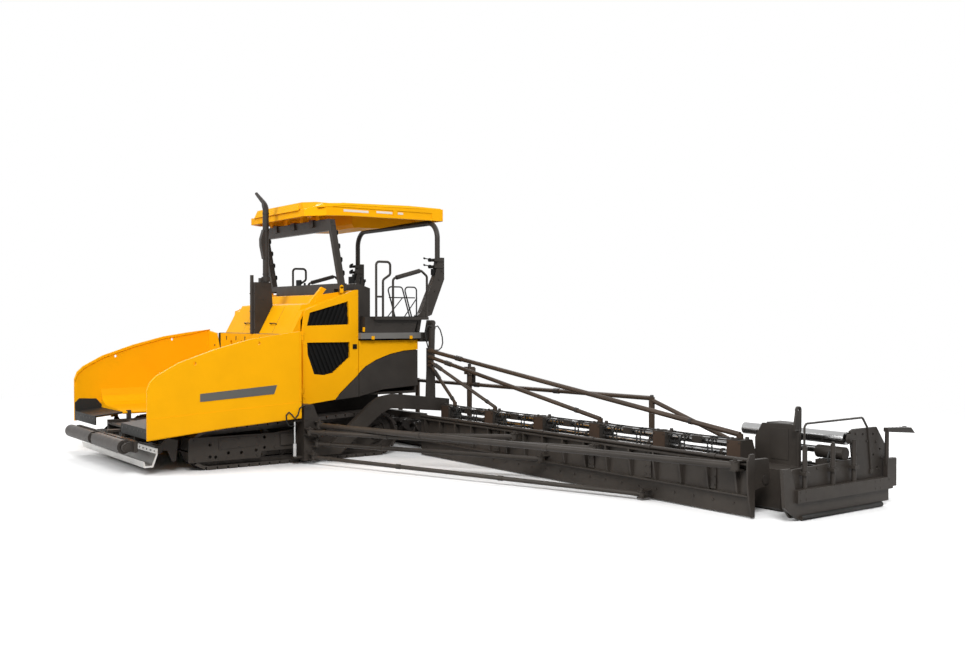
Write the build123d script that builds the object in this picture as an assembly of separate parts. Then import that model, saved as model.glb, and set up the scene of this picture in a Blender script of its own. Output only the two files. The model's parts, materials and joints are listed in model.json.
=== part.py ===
from build123d import *
from math import acos, atan2, cos, degrees, hypot, pi, sin
import os

# Tracked asphalt paver with a very wide bolted screed. Millimetres, +X is the way it drives,
# +Y its left side, +Z up. The origin is on the ground under the middle of the machine's box.

# ---- fits shared by all pieces ----
SEAT_GAP = 0.3          # between pieces that rest on each other
PIN_GAP = 0.5           # radial clearance of a pin or rod in its bore

# ---- tracks ----
TRACK_Y = 1300.0        # centre plane of a track
SHOE_WIDTH = 400.0
SHOE_THICK = 58.0
SHOE_PITCH = 171.0
SHOE_SHARE = 0.86       # part of the pitch that a shoe covers
BELT_THICK = 14.0       # link plate that joins the shoes
CHAIN_THICK = 62.0
CHAIN_WIDTH = 120.0
IDLER_X = 2375.0
IDLER_LOOP_R = 255.0
SPROCKET_X = -560.0
SPROCKET_LOOP_R = 315.0
ROLLER_R = 80.0
ROLLER_XS = (-150.0, 170.0, 490.0, 810.0, 1130.0, 1450.0, 1770.0)
CARRIER_XS = (300.0, 1400.0)
CARRIER_R = 55.0
AXLE_R = 38.0

# ---- track frames and their outer guards ----
FRAME_PLATE = 22.0
GUARD_Y = TRACK_Y + 206.0   # inner face of an outer guard
GUARD_THICK = 24.0
GUARD_FRONT_X = 2705.0
GUARD_REAR_X = 970.0
GUARD_LOW_Z = 130.0
GUARD_TOP_Z = 500.0
GUARD_HOLE_R = 25.0
GUARD_HOLES = ((2375, 380), (2375, 200), (2285, 190), (2085, 240), (1875, 230), (1635, 250),
               (1495, 280), (1495, 440))        # x, z of the guard's bolt holes

# ---- chassis ----
BEAM_Y = 640.0          # inner face of a main beam
BEAM_THICK = 60.0
CHASSIS_FRONT_X = 3230.0
CHASSIS_REAR_X = -1020.0
CHASSIS_LOW_Z = 260.0
CONVEYOR_Z = 600.0      # top of the conveyor's floor plate
BODY_Y = 1400.0         # outer face of the side panels
BODY_FRONT_X = 940.0
BODY_REAR_X = -1400.0
PANEL_THICK = 50.0
DOOR_CLEAR_Y = 1330.0   # nothing fixed stands further out behind a closed door
DOOR_HINGE_X = 775.0
DOOR_HINGE_ZS = (1080.0, 1930.0)  # undersides of a door hinge's fixed knuckles
KNUCKLE_R = 16.0
KNUCKLE_TALL = 70.0
DOOR_PIN_R = 9.0
UPPER_OPENING = ((700, 2160), (650, 2370), (-45, 2560), (-65, 2180))
LOWER_OPENING = ((700, 1890), (-75, 1890), (-75, 1640), (235, 1390), (385, 1360), (575, 1380), (690, 1700))
SLAT_PITCH = 78.0
SLAT_WIDTH = 34.0
SLAT_LEAN = 0.42        # sideways run of a louvre for its height
HOOD_LOW = (940.0, 2030.0)        # x, z of the foot of the hood's front slope
HOOD_HIGH = (690.0, 2500.0)       # x, z of its top
HOOD_STEP = (400.0, 2660.0)       # x, z of the step behind it
HOOD_REAR = (-190.0, 2700.0)
HOOD_SHEET = 40.0
DECK_Z = 1040.0         # top of the plate that carries the engine

# ---- hopper ----
WING_Y = 1880.0         # outer face of a wing
WING_WALL = 40.0
WING_REAR_X = 1035.0
WING_FRONT_X = 3435.0
WING_HINGE_Y = 640.0
WING_HINGE_Z = 742.0
WING_HINGE_R = 22.0
HINGE_LUG_XS = (1150.0, 1740.0, 2330.0, 2900.0)
HINGE_LUG_WIDTH = 60.0
WING_CYL_X = 2900.0
WING_CYL_LOW = (800.0, 350.0)     # y, z of the wing cylinder's lower pin
WING_CYL_TOP = (1410.0, 650.0)    # y, z of its upper pin
WING_BARREL = 560.0
WING_RIB_XS = (1035.0, 1600.0, 2150.0, 2700.0, 2970.0)
WING_FLOOR_X = 2990.0   # front edge of the wing's floor
FLOOR = ((650, 762), (1560, 805), (1720, 855), (1810, 950), (1845, 1090))   # y, z of its top face
FLOOR_THICK = 25.0
LIP = 18.0              # inward rim along a wing's top edge
REAR_WALL_X = 1020.0
REAR_WALL_Y = 1460.0
HOPPER_TOP_Z = 2000.0

# ---- push rollers and front deflector ----
PUSH_X = 3610.0
PUSH_Z = 425.0
PUSH_R = 100.0
PUSH_PIVOT_X = 3390.0

# ---- tow points, tow arms and screed ----
TOW_X = 795.0
TOW_Z = 180.0
TOW_PIN_R = 40.0
CHEEK_IN_Y = TRACK_Y + 260.0
ARM_Y = CHEEK_IN_Y + 90.0
ARM_WIDTH = 100.0
CHEEK_OUT_Y = CHEEK_IN_Y + 230.0
CHEEK_THICK = 25.0
SCREED_FRONT_X = -1740.0
SCREED_DEPTH = 560.0
SCREED_TOP_Z = 500.0
SCREED_HALF = 8750.0
FIRST_BOX_Y = 1830.0      # middle of the first drive box
LAST_BOX_Y = SCREED_HALF - 635.0
BOX_COUNT = 6
SECTION_LENGTH = (LAST_BOX_Y - FIRST_BOX_Y) / (BOX_COUNT - 1)
AUGER_X = -1430.0
AUGER_Z = 420.0
AUGER_R = 200.0
AUGER_SHAFT_R = 55.0
AUGER_START_Y = 190.0
AUGER_END_Y = SCREED_HALF + 50.0
FLIGHT_THICK = 14.0
INNER_HANGER_Y = 4150.0
OUTER_HANGER_Y = SCREED_HALF + 5.0
FLIGHTS = (             # start y, end y, number of half turns
    (AUGER_START_Y + 40.0, INNER_HANGER_Y - 60.0, 18),
    (INNER_HANGER_Y + 60.0, OUTER_HANGER_Y - 55.0, 21),
)
HANGER_THICK = 60.0
BAFFLE_X = -1150.0      # front face of the material baffle
BAFFLE_THICK = 20.0
BAFFLE_START_Y = 1900.0
BAFFLE_END_Y = SCREED_HALF + 100.0
BAFFLE_LOW_Z = 15.0
BAFFLE_FOLD_Z = 245.0
BAFFLE_TOP_Z = 660.0
MAST_Y = ARM_Y + 10.0
LIFT_PIN_Y = ARM_Y - 60.0
LIFT_TOP = (-1570.0, 2200.0)     # x, z of the lift cylinder's upper pin
LIFT_LOW = (-1545.0, 1360.0)     # x, z of its lower pin
LIFT_BARREL_R = 55.0
LIFT_ROD_R = 30.0

BRACE_LUG = 15.0
BRACES = (              # start x, start z, end y, end z, radius
    (760, 610, BAFFLE_END_Y - 160, 600, 42),
    (930, 520, BAFFLE_END_Y - 2550, 560, 35),
    (760, 470, BAFFLE_END_Y - 4250, 560, 35),
    (800, 330, BAFFLE_END_Y - 3650, 300, 33),
    (860, 125, BAFFLE_END_Y - 1650, 75, 30),
)
BRACE_OUT = 130.0       # from the face that a brace ends at to the middle of its eye
STAYS = (               # start z, number of its drive box, end's distance past the box's middle, radius
    (1480, 0, 130, 28), (1540, 1, 13, 28), (1620, 3, -11, 32), (1725, 5, -5, 34),
)
BOX_TOP_Z = 800.0
BOX_X = (-1880.0, -1670.0)
BOX_HALF = 115.0        # half of a box's width along the screed
COVER_TUBES = ((-1790, 735, 50), (-1800, 615, 38))      # x, z, radius
TRUSS_X = -2100.0
TRUSS_POSTS = ((FIRST_BOX_Y + 120, 1450), (SCREED_HALF - 2450, 1190))      # y, top z
TRUSS_TIE_END = (SCREED_HALF - 750, 640)        # y, z

# ---- screed end: telescopic extension and end gate ----
LUG_X = -2130.0
LUG_Y = SCREED_HALF - 40.0
LUG_Z = 1180.0
LUG_HOLE_R = 22.0
TUBE_X = -2500.0
TUBE_Z = 850.0
TUBE_R = 77.0
LOW_TUBE = (-2480.0, 690.0, 42.0)     # x, z, radius of the dark tube below it
CASE_Y = (SCREED_HALF - 700.0, SCREED_HALF - 370.0)     # guide case of both tubes
EXTENSION_FRONT_X = -2330.0
EXTENSION_REAR_X = -2950.0
EXTENSION_OUT_Y = SCREED_HALF + 370.0
GUARD_RAIL_R = 13.0
GATE_Y = EXTENSION_OUT_Y + 60.0
GATE_THICK = 40.0
GATE_POST_XS = (-1605.0, -2125.0, -2535.0)
GATE_POST_R = 28.0
STEP_TIP_X = -3725.0

# ---- platform, rails and canopy ----
PLATFORM_Y = 1500.0
PLATFORM_Z = 1940.0
PLATFORM_THICK = 100.0
RAIL_Y = 1550.0
RAIL_R = 20.0
FRONT_POST_Y = 1285.0
REAR_POST_Y = 1400.0
CANOPY_TUBE_R = 45.0
ROOF_Y = 1300.0
EXHAUST_X = 768.0
EXHAUST_R = 52.0
EXHAUST_TOP_Z = 4380.0
SHIELD_Z = (3290.0, 3780.0)
GUARD_HALF = 100.0      # half width of the guard at the exhaust's foot


# ---- helpers ----
def block(x, y, z):
    """A box between the two values given on each axis."""
    size = [abs(high - low) for low, high in (x, y, z)]
    middle = [(high + low) / 2 for low, high in (x, y, z)]
    return Pos(*middle) * Box(*size)


def plate_xz(points, y_low, y_high):
    """An outline of x, z points, thick along Y."""
    face = make_face(Polyline(*[(x, y_low, z) for x, z in points], close=True))
    return extrude(face, y_high - y_low, dir=(0, 1, 0))


def plate_yz(points, x_low, x_high):
    """An outline of y, z points, thick along X."""
    face = make_face(Polyline(*[(x_low, y, z) for y, z in points], close=True))
    return extrude(face, x_high - x_low, dir=(1, 0, 0))


def plate_xy(points, z_low, z_high):
    """An outline of x, y points, thick along Z."""
    face = make_face(Polyline(*[(x, y, z_low) for x, y in points], close=True))
    return extrude(face, z_high - z_low, dir=(0, 0, 1))


def rod(start, end, radius):
    """A round bar between two points."""
    axis = Vector(*end) - Vector(*start)
    place = Plane(origin=Vector(*start), z_dir=axis)
    return place * Cylinder(radius, axis.length, align=(Align.CENTER, Align.CENTER, Align.MIN))


def pipe(points, radius, bend):
    """A round tube along a bent line, every corner rounded."""
    path = FilletPolyline(*points, radius=bend)
    return sweep((path ^ 0) * Circle(radius), path=path)


def pin_y(x, z, y_low, y_high, radius):
    return rod((x, y_low, z), (x, y_high, z), radius)


def fuse(shapes):
    shapes = list(shapes)
    return shapes[0] + shapes[1:] if len(shapes) > 1 else shapes[0]


def mirrored(shape):
    return mirror(shape, about=Plane.XZ)


def both(shapes):
    """The given left-side pieces and their mirror images."""
    shapes = list(shapes)
    return shapes + [mirrored(shape) for shape in shapes]


def sided(shape, side):
    return shape if side == "left" else mirrored(shape)


def save(name, shapes):
    solids = [solid for shape in shapes for solid in shape.solids()]
    export_step(Compound(solids), f"parts/{name}.step")


# ---- tracks ----
CHAIN_LOW_Z = SHOE_THICK + CHAIN_THICK
IDLER = (IDLER_X, SHOE_THICK + IDLER_LOOP_R, IDLER_LOOP_R)
SPROCKET = (SPROCKET_X, SHOE_THICK + SPROCKET_LOOP_R, SPROCKET_LOOP_R)


def track_loop():
    """The shoes' inner face as stretches: (length, point function of the way along it)."""
    (xi, zi, ri), (xs, zs, rs) = IDLER, SPROCKET
    apart = hypot(xi - xs, zi - zs)
    lean = atan2(zi - zs, xi - xs)
    spread = acos((rs - ri) / apart)
    low, high = lean - spread, lean + spread
    straight = apart * sin(spread)

    def line(x0, z0, angle, heading):
        return lambda s: (x0 + s * cos(heading), z0 + s * sin(heading), angle)

    def arc(x0, z0, radius, first):
        return lambda s: (x0 + radius * cos(first + s / radius),
                          z0 + radius * sin(first + s / radius), first + s / radius)

    return (
        (straight, line(xs + rs * cos(low), zs + rs * sin(low), low, low + pi / 2)),
        (ri * (high - low), arc(xi, zi, ri, low)),
        (straight, line(xi + ri * cos(high), zi + ri * sin(high), high, high + pi / 2)),
        (rs * (2 * pi - high + low), arc(xs, zs, rs, high)),
    )


def track_point(way, offset):
    """The x, z point at a way along the loop, moved out by the offset."""
    stretches = track_loop()
    way %= sum(length for length, _ in stretches)
    for length, place in stretches:
        if way <= length:
            x, z, normal = place(way)
            return x + offset * cos(normal), z + offset * sin(normal)
        way -= length
    return track_point(0.0, offset)


def track_shoes():
    """Number of shoes and the pitch that closes the loop."""
    total = sum(length for length, _ in track_loop())
    count = round(total / SHOE_PITCH)
    return count, total / count


def make_track():
    count, pitch = track_shoes()
    half = pitch * SHOE_SHARE / 2
    outline = []
    for i in range(count):
        way = i * pitch
        outline += [track_point(way - half, BELT_THICK), track_point(way - half, SHOE_THICK),
                    track_point(way + half, SHOE_THICK), track_point(way + half, BELT_THICK)]
    belt = [track_point((i + 0.5) * pitch / 2, 0.0) for i in range(2 * count)]
    chain_out = [track_point((i + 0.5) * pitch / 2, BELT_THICK / 2) for i in range(2 * count)]
    chain_in = [track_point((i + 0.5) * pitch / 2, -CHAIN_THICK) for i in range(2 * count)]
    wide = (TRACK_Y - SHOE_WIDTH / 2, TRACK_Y + SHOE_WIDTH / 2)
    slim = (TRACK_Y - CHAIN_WIDTH / 2, TRACK_Y + CHAIN_WIDTH / 2)
    shoes = plate_xz(outline, *wide) - plate_xz(belt, wide[0] - 1, wide[1] + 1)
    chain = plate_xz(chain_out, *slim) - plate_xz(chain_in, slim[0] - 1, slim[1] + 1)
    return shoes + chain


def wheel_gap(radius):
    """Room for the facets of a loop whose round stretches are short straight links."""
    count, pitch = track_shoes()
    return radius * (1 - cos(pitch / 4 / radius)) + SEAT_GAP + 1.0


def make_track_wheels():
    wheel = (TRACK_Y - CHAIN_WIDTH / 2 + 4, TRACK_Y + CHAIN_WIDTH / 2 - 4)
    inner = TRACK_Y - CHAIN_WIDTH / 2 - 2
    outer = TRACK_Y + CHAIN_WIDTH / 2 + 2
    pieces = []
    for (x, z, loop_r) in (IDLER, SPROCKET):
        radius = loop_r - CHAIN_THICK - wheel_gap(loop_r - CHAIN_THICK)
        rim = pin_y(x, z, *wheel, radius)
        rim -= pin_y(x, z, wheel[0] - 1, wheel[0] + 30, radius - 45)
        rim -= pin_y(x, z, wheel[1] - 30, wheel[1] + 1, radius - 45)
        pieces.append(rim + pin_y(x, z, inner, outer, AXLE_R + 30))
    for x in ROLLER_XS:
        z = CHAIN_LOW_Z + ROLLER_R + SEAT_GAP
        pieces.append(pin_y(x, z, *wheel, ROLLER_R) + pin_y(x, z, inner, outer, AXLE_R))
    for x in CARRIER_XS:
        z = top_run_z(x) - CARRIER_R - SEAT_GAP
        pieces.append(pin_y(x, z, *wheel, CARRIER_R) + pin_y(x, z, inner, outer, 25))
    return pieces


def top_run_z(x):
    """Lowest height of the chain's inner face on the upper run."""
    start = track_loop()[0][0] + track_loop()[1][0]
    x0, z0 = track_point(start, -CHAIN_THICK)
    x1, z1 = track_point(start + track_loop()[2][0], -CHAIN_THICK)
    return z0 + (z1 - z0) * (x - x0) / (x1 - x0)


def make_track_frame():
    """Twin plates that hold the rollers, cross arms to the chassis and the outer guard."""
    inner = TRACK_Y - CHAIN_WIDTH / 2 - 2 - SEAT_GAP
    outer = TRACK_Y + CHAIN_WIDTH / 2 + 2 + SEAT_GAP
    low, rise = CHAIN_LOW_Z + 22, 200
    side = [(IDLER_X + 90, IDLER[1] - 80), (IDLER_X + 90, IDLER[1] + 80), (IDLER_X - 120, IDLER[1] + 95),
            (CARRIER_XS[1], low + rise + 60), (SPROCKET_X + 150, SPROCKET[1] + 120),
            (SPROCKET_X - 110, SPROCKET[1] + 120), (SPROCKET_X - 110, SPROCKET[1] - 90),
            (SPROCKET_X + 160, low), (IDLER_X - 160, low)]
    plates = [plate_xz(side, inner - FRAME_PLATE, inner), plate_xz(side, outer, outer + FRAME_PLATE)]
    for x in CARRIER_XS:
        lug = block((x - 40, x + 40), (inner - FRAME_PLATE, inner), (low + rise, top_run_z(x) - 20))
        plates += [lug, Pos(0, outer - inner + FRAME_PLATE, 0) * lug]
    arms = [block((x - 90, x + 90), (BEAM_Y + BEAM_THICK, inner - FRAME_PLATE), (280, 430))
            for x in (420.0, 1750.0)]
    spacers = [block((x - 60, x + 60), (outer + FRAME_PLATE, GUARD_Y), (280, 400))
               for x in (1330.0, 1980.0, 2300.0)]
    guard = plate_xz([(GUARD_FRONT_X, GUARD_LOW_Z), (GUARD_FRONT_X, GUARD_TOP_Z - 30),
                      (GUARD_FRONT_X - 30, GUARD_TOP_Z), (1350, GUARD_TOP_Z),
                      (GUARD_REAR_X, GUARD_TOP_Z + 40), (GUARD_REAR_X, 230), (1545, 225),
                      (1570, GUARD_LOW_Z)], GUARD_Y, GUARD_Y + GUARD_THICK)
    for x, z in GUARD_HOLES:
        guard -= pin_y(x, z, GUARD_Y - 1, GUARD_Y + GUARD_THICK + 1, GUARD_HOLE_R)
    cover = plate_xz([(2240, 300), (2240, 470), (1600, 470), (1600, 320)],
                     GUARD_Y + GUARD_THICK, GUARD_Y + GUARD_THICK + 12)
    return fuse(plates + arms + spacers + [guard, cover])


# ---- chassis ----
def make_chassis():
    beam = plate_xz([(CHASSIS_FRONT_X, 420), (CHASSIS_FRONT_X, 640), (900, 640), (900, DECK_Z - 40),
                     (CHASSIS_REAR_X, DECK_Z - 40), (CHASSIS_REAR_X, 640),
                     (CHASSIS_REAR_X + 120, CHASSIS_LOW_Z), (2900, CHASSIS_LOW_Z)],
                    BEAM_Y, BEAM_Y + BEAM_THICK)
    floor = block((CHASSIS_REAR_X, CHASSIS_FRONT_X), (-BEAM_Y, BEAM_Y), (CONVEYOR_Z - 30, CONVEYOR_Z))
    pan = block((CHASSIS_REAR_X + 200, 2900), (-BEAM_Y, BEAM_Y), (CHASSIS_LOW_Z, CHASSIS_LOW_Z + 30))
    cross = [block((x, x + 80), (-BEAM_Y, BEAM_Y), (CHASSIS_LOW_Z + 30, CONVEYOR_Z - 30))
             for x in (-700.0, 600.0, 1900.0, 2800.0)]
    inside = BODY_Y - PANEL_THICK - SEAT_GAP
    deck = block((90, BODY_FRONT_X), (-DOOR_CLEAR_Y, DOOR_CLEAR_Y), (DECK_Z - 40, DECK_Z))
    rear_deck = block((BODY_REAR_X, 90), (-inside, inside), (DECK_Z - 40, DECK_Z))
    tail = block((BODY_REAR_X, BODY_REAR_X + 40), (-inside, inside), (DECK_Z, PLATFORM_Z))
    ribs = [block((BODY_REAR_X + 40, BODY_REAR_X + 300), (y - 15, y + 15), (DECK_Z, PLATFORM_Z))
            for y in (-700.0, 0.0, 700.0)]
    outriggers = both([block((810, 940), (BEAM_Y + BEAM_THICK, CHEEK_IN_Y), (800, 925))])
    legs = both([block((800, 900), (BEAM_Y, BEAM_Y + BEAM_THICK), (600, 925))])
    tail_beam = block((BODY_REAR_X - 170, BODY_REAR_X), (-PLATFORM_Y + 20, PLATFORM_Y - 20),
                      (PLATFORM_Z - 60, PLATFORM_Z + PLATFORM_THICK))
    front = block((3080, 3180), (-1450, 1450), (300, 420))
    hangers = both([plate_xz([(3090, 330), (3090, 410), (2975, 515), (2815, 470), (2850, 160), (2910, 160),
                              (2975, 330)], 1370, 1400)])
    ears = [block((3180, PUSH_PIVOT_X + 60), (-75, 75), z)
            for z in ((300, 345 - SEAT_GAP), (505 + SEAT_GAP, 545))]
    bridge = block((3180, CHASSIS_FRONT_X), (-75, 75), (345, 505))
    push_pin = rod((PUSH_PIVOT_X, 0, 300), (PUSH_PIVOT_X, 0, 545), 35)
    knuckles = both([make_hinge_lug(x) for x in HINGE_LUG_XS])
    y, z = WING_CYL_LOW
    clevis = [block((x, x + 20), (BEAM_Y + BEAM_THICK, y + 50), (z - 45, z + 45))
              for x in (WING_CYL_X - 51, WING_CYL_X + 31)]
    clevis.append(rod((WING_CYL_X - 51, y, z), (WING_CYL_X + 51, y, z), 20))
    ear = plate_xz([(BODY_REAR_X - 170, PLATFORM_Z + 60), (BODY_REAR_X - 60, PLATFORM_Z + 60),
                    (LIFT_TOP[0] + 60, LIFT_TOP[1] + 50), (LIFT_TOP[0] - 50, LIFT_TOP[1] + 50),
                    (LIFT_TOP[0] - 60, LIFT_TOP[1] - 60)], PLATFORM_Y + 5, PLATFORM_Y + 30)
    ear += block((BODY_REAR_X - 170, BODY_REAR_X - 60), (PLATFORM_Y - 20, PLATFORM_Y + 5),
                 (PLATFORM_Z - 20, PLATFORM_Z + 90))
    ear += block((BODY_REAR_X - 170, BODY_REAR_X - 60), (PLATFORM_Y + 5, PLATFORM_Y + 30),
                 (PLATFORM_Z - 20, PLATFORM_Z + 90))
    ear += pin_y(*LIFT_TOP, PLATFORM_Y + 30, LIFT_PIN_Y + 38, 25)
    return fuse([beam, mirrored(beam), floor, pan, deck, rear_deck, tail, tail_beam, front, bridge, push_pin]
                + cross + ribs + ears + outriggers + legs + knuckles + hangers + both(clevis + [ear]))


def make_hinge_lug(x):
    """Bearing block of a wing's hinge on the main beam."""
    lug = block((x - HINGE_LUG_WIDTH / 2, x + HINGE_LUG_WIDTH / 2), (WING_HINGE_Y - 35, WING_HINGE_Y + 35),
                (640, WING_HINGE_Z + 38))
    return lug - rod((x - 50, WING_HINGE_Y, WING_HINGE_Z), (x + 50, WING_HINGE_Y, WING_HINGE_Z),
                     WING_HINGE_R + PIN_GAP)


def make_hopper_rear_wall():
    wall = block((BODY_FRONT_X + 10, REAR_WALL_X), (-BODY_Y, BODY_Y), (760, HOPPER_TOP_Z))
    wall += block((BODY_FRONT_X + 10, REAR_WALL_X), (-REAR_WALL_Y, REAR_WALL_Y), (1500, HOPPER_TOP_Z + 20))
    tunnel = block((BODY_FRONT_X, REAR_WALL_X + 10), (-BEAM_Y + 40, BEAM_Y - 40), (700, 960))
    holes = [rod((BODY_FRONT_X, y, 1850), (REAR_WALL_X + 10, y, 1850), 45)
             for y in (-900.0, -450.0, 450.0, 900.0)]
    wall -= tunnel
    for hole in holes:
        wall -= hole
    foot = both([block((BODY_FRONT_X + 10, REAR_WALL_X), (BEAM_Y, BEAM_Y + BEAM_THICK), (640, 760))])
    return wall + foot


def make_conveyor():
    """Two chains with cross slats on the floor plate, from the hopper to the auger."""
    low = CONVEYOR_Z + SEAT_GAP
    chains = [block((CHASSIS_REAR_X + 40, CHASSIS_FRONT_X - 80), (y - 25, y + 25), (low, low + 40))
              for y in (-560.0, -60.0, 60.0, 560.0)]
    slats = [block((x, x + 50), (-585, 585), (low + 10, low + 35))
             for x in range(int(CHASSIS_REAR_X) + 100, int(CHASSIS_FRONT_X) - 150, 240)]
    return fuse(chains + slats)


def make_tow_column():
    """Cheek plates that guide the tow point, with the levelling cylinder ahead of them."""
    outline = [(960, 60), (960, 930), (800, 930), (700, 680), (700, 60)]
    cheeks = [plate_xz(outline, y, y + CHEEK_THICK) for y in (CHEEK_IN_Y, CHEEK_OUT_Y)]
    web = block((940, 960), (CHEEK_IN_Y, CHEEK_OUT_Y + CHEEK_THICK), (60, 930))
    cap = block((805, 960), (CHEEK_IN_Y, CHEEK_OUT_Y + CHEEK_THICK), (900, 930))
    pin = pin_y(TOW_X, TOW_Z, CHEEK_IN_Y, CHEEK_OUT_Y + CHEEK_THICK + 15, TOW_PIN_R)
    low_eye = block((960, 1100), (1650, 1750), (100, 130))
    high_eye = block((960, 1100), (1650, 1750), (670, 700))
    link = block((GUARD_REAR_X - 20, 1240), (GUARD_Y + GUARD_THICK, CHEEK_IN_Y), (300, 480))
    face = CHEEK_OUT_Y + CHEEK_THICK
    lugs = []
    for x, z, _, _, radius in BRACES:
        for low in brace_lug_lows(z, radius):
            lugs.append(block((x - 45, x + 45), (face, face + BRACE_OUT + 45), (low, low + BRACE_LUG)))
    return fuse(cheeks + [web, cap, pin, low_eye, high_eye, link] + lugs)


def brace_lug_lows(z, radius):
    """Undersides of the two lugs that hold a brace's eye."""
    half = radius + 3 + SEAT_GAP
    return z - half - BRACE_LUG, z + half


def make_levelling_cylinder():
    barrel = rod((1065, 1700, 130 + SEAT_GAP), (1065, 1700, 330), 42)
    stem = rod((1065, 1700, 330), (1065, 1700, 670 - SEAT_GAP), 20)
    return barrel + stem


# ---- hopper wings ----
def wing_floor(y):
    """Height of the floor's underside on its straight inner stretch."""
    (y_in, z_in), (y_out, z_out) = FLOOR[:2]
    return z_in - FLOOR_THICK + (y - y_in) / (y_out - y_in) * (z_out - z_in)


def make_wing():
    top = [(WING_FRONT_X, 1250), (3390, 1370), (3290, 1465), (2965, 1640), (2435, 1820), (1895, 1960),
           (1405, 2035), (WING_REAR_X, 2080)]
    inner = WING_Y - WING_WALL
    wall = plate_xz([(WING_FRONT_X, 540)] + top + [(WING_REAR_X, 735), (2295, 650)], inner, WING_Y)
    wall += plate_xz(top + [(x - 6, z - 42) for x, z in reversed(top[:-1])], inner - LIP, inner)
    wall -= fuse([pin_y(x, z, inner - 1, WING_Y + 1, 24) for x, z in ((2740, 1625), (1740, 1905))])
    straight = FLOOR[:3]
    under = [(y, z - FLOOR_THICK) for y, z in reversed(straight)]
    floor = plate_yz(list(FLOOR) + [(FLOOR[-1][0], 880)] + under, WING_REAR_X, WING_FLOOR_X)
    low = wing_floor(FLOOR[0][0]) - 15
    web = [(y, z - 5) for y, z in straight] + [(FLOOR[-1][0], 960), (FLOOR[-1][0], low), (FLOOR[0][0], low)]
    ribs = [plate_yz(web, x, x + 20) for x in WING_RIB_XS]
    rear = plate_yz([(980, 770), (inner + 30, 830), (inner + 30, 2060), (1480, 2020)],
                    WING_REAR_X, WING_REAR_X + 40)
    bridge = block((WING_REAR_X, WING_FLOOR_X), (WING_HINGE_Y, WING_HINGE_Y + 30), (725, 760))
    y, z = WING_CYL_TOP
    clevis = [plate_yz([(y - 40, z - 38), (y + 40, z - 38), (y + 60, wing_floor(y + 60) + 10),
                        (y - 60, wing_floor(y - 60) + 10)], x, x + 20)
              for x in (WING_CYL_X - 51, WING_CYL_X + 31)]
    ends = [rod((x, y, z), (x + 8, y, z), 22) for x in (WING_CYL_X - 58, WING_CYL_X + 50)]
    wing = fuse([wall, floor, rear, bridge] + ribs + clevis + ends)
    notch = HINGE_LUG_WIDTH / 2 + 6
    for x in HINGE_LUG_XS:
        wing -= block((x - notch, x + notch), (WING_HINGE_Y - 60, WING_HINGE_Y + 60), (700, 810))
    return wing + rod((WING_REAR_X, WING_HINGE_Y, WING_HINGE_Z), (WING_FLOOR_X, WING_HINGE_Y, WING_HINGE_Z),
                      WING_HINGE_R)


def make_flap():
    """Rubber shelf and apron across the front of a wing, and the plate in its front corner."""
    start = WING_FLOOR_X + SEAT_GAP
    inner = WING_Y - WING_WALL - SEAT_GAP
    front = WING_FRONT_X - 3
    shelf = plate_xz([(start, 735), (start, 752), (front, 708), (front, 560), (front - 22, 560),
                      (front - 22, 694)],
                     WING_HINGE_Y + 30, inner)
    corner = plate_xz([(front, 600), (front, 850), (3360, 920), (3080, 905), (start, 800), (start, 740),
                       (3200, 600)], inner - 22, inner)
    return shelf + corner


def make_wing_cylinders():
    """Barrel and rod of the cylinder that folds a wing."""
    foot, top = WING_CYL_LOW, WING_CYL_TOP
    length = hypot(top[0] - foot[0], top[1] - foot[1])
    ux, uz = (top[0] - foot[0]) / length, (top[1] - foot[1]) / length

    def at(way):
        return (WING_CYL_X, foot[0] + ux * way, foot[1] + uz * way)

    eye = rod((WING_CYL_X - 30, *foot), (WING_CYL_X + 30, *foot), 45)
    eye -= rod((WING_CYL_X - 31, *foot), (WING_CYL_X + 31, *foot), 20 + PIN_GAP)
    barrel = rod(at(30), at(90), 28) + rod(at(85), at(WING_BARREL), 42)
    barrel -= rod(at(105), at(WING_BARREL + 1), 22 + PIN_GAP)
    barrel -= rod((WING_CYL_X - 31, *foot), (WING_CYL_X + 31, *foot), 20 + PIN_GAP)
    stem = rod(at(length - WING_BARREL), at(length - 25), 22)
    head = rod((WING_CYL_X - 30, *top), (WING_CYL_X + 30, *top), 36)
    return eye + barrel, stem + head


# ---- front of the machine ----
def make_push_beam():
    beam = block((3440, 3500), (-1480, 1480), (345, 505))
    nose = [block((3500, PUSH_X), (y - 20, y + 20), (PUSH_Z - 70, PUSH_Z + 70)) for y in (-1420.0, 1420.0)]
    middle = block((3500, PUSH_X + 60), (-60, 60), (PUSH_Z - 75, PUSH_Z + 75))
    covers = [rod((PUSH_X, y, PUSH_Z), (PUSH_X, y + 60, PUSH_Z), 60) for y in (-1500.0, 1440.0)]
    pivot = rod((PUSH_PIVOT_X, 0, 345), (PUSH_PIVOT_X, 0, 505), 70)
    pivot += block((PUSH_PIVOT_X, 3440), (-70, 70), (345, 505))
    pivot -= rod((PUSH_PIVOT_X, 0, 340), (PUSH_PIVOT_X, 0, 510), 35 + PIN_GAP)
    axles = [pin_y(PUSH_X, PUSH_Z, 60, 1400, 30), pin_y(PUSH_X, PUSH_Z, -1400, -60, 30)]
    return fuse([beam, middle, pivot] + nose + covers + axles)


def make_push_roller():
    tube = pin_y(PUSH_X, PUSH_Z, 80, 1390, PUSH_R)
    return tube - pin_y(PUSH_X, PUSH_Z, 79, 1391, 30 + PIN_GAP)


def make_deflector():
    """Bent sheet below the push rollers that turns spilled mix aside."""
    back = 3180 + SEAT_GAP
    sheet = plate_xz([(back, 390), (3200, 390), (3200, 310), (3268, 145), (3360, 145), (3375, 215),
                      (3390, 215), (3372, 120), (3245, 120), (back, 300)], -1560, 1560)
    return sheet - block((3170, 3460), (-80, 80), (295, 560))


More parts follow.
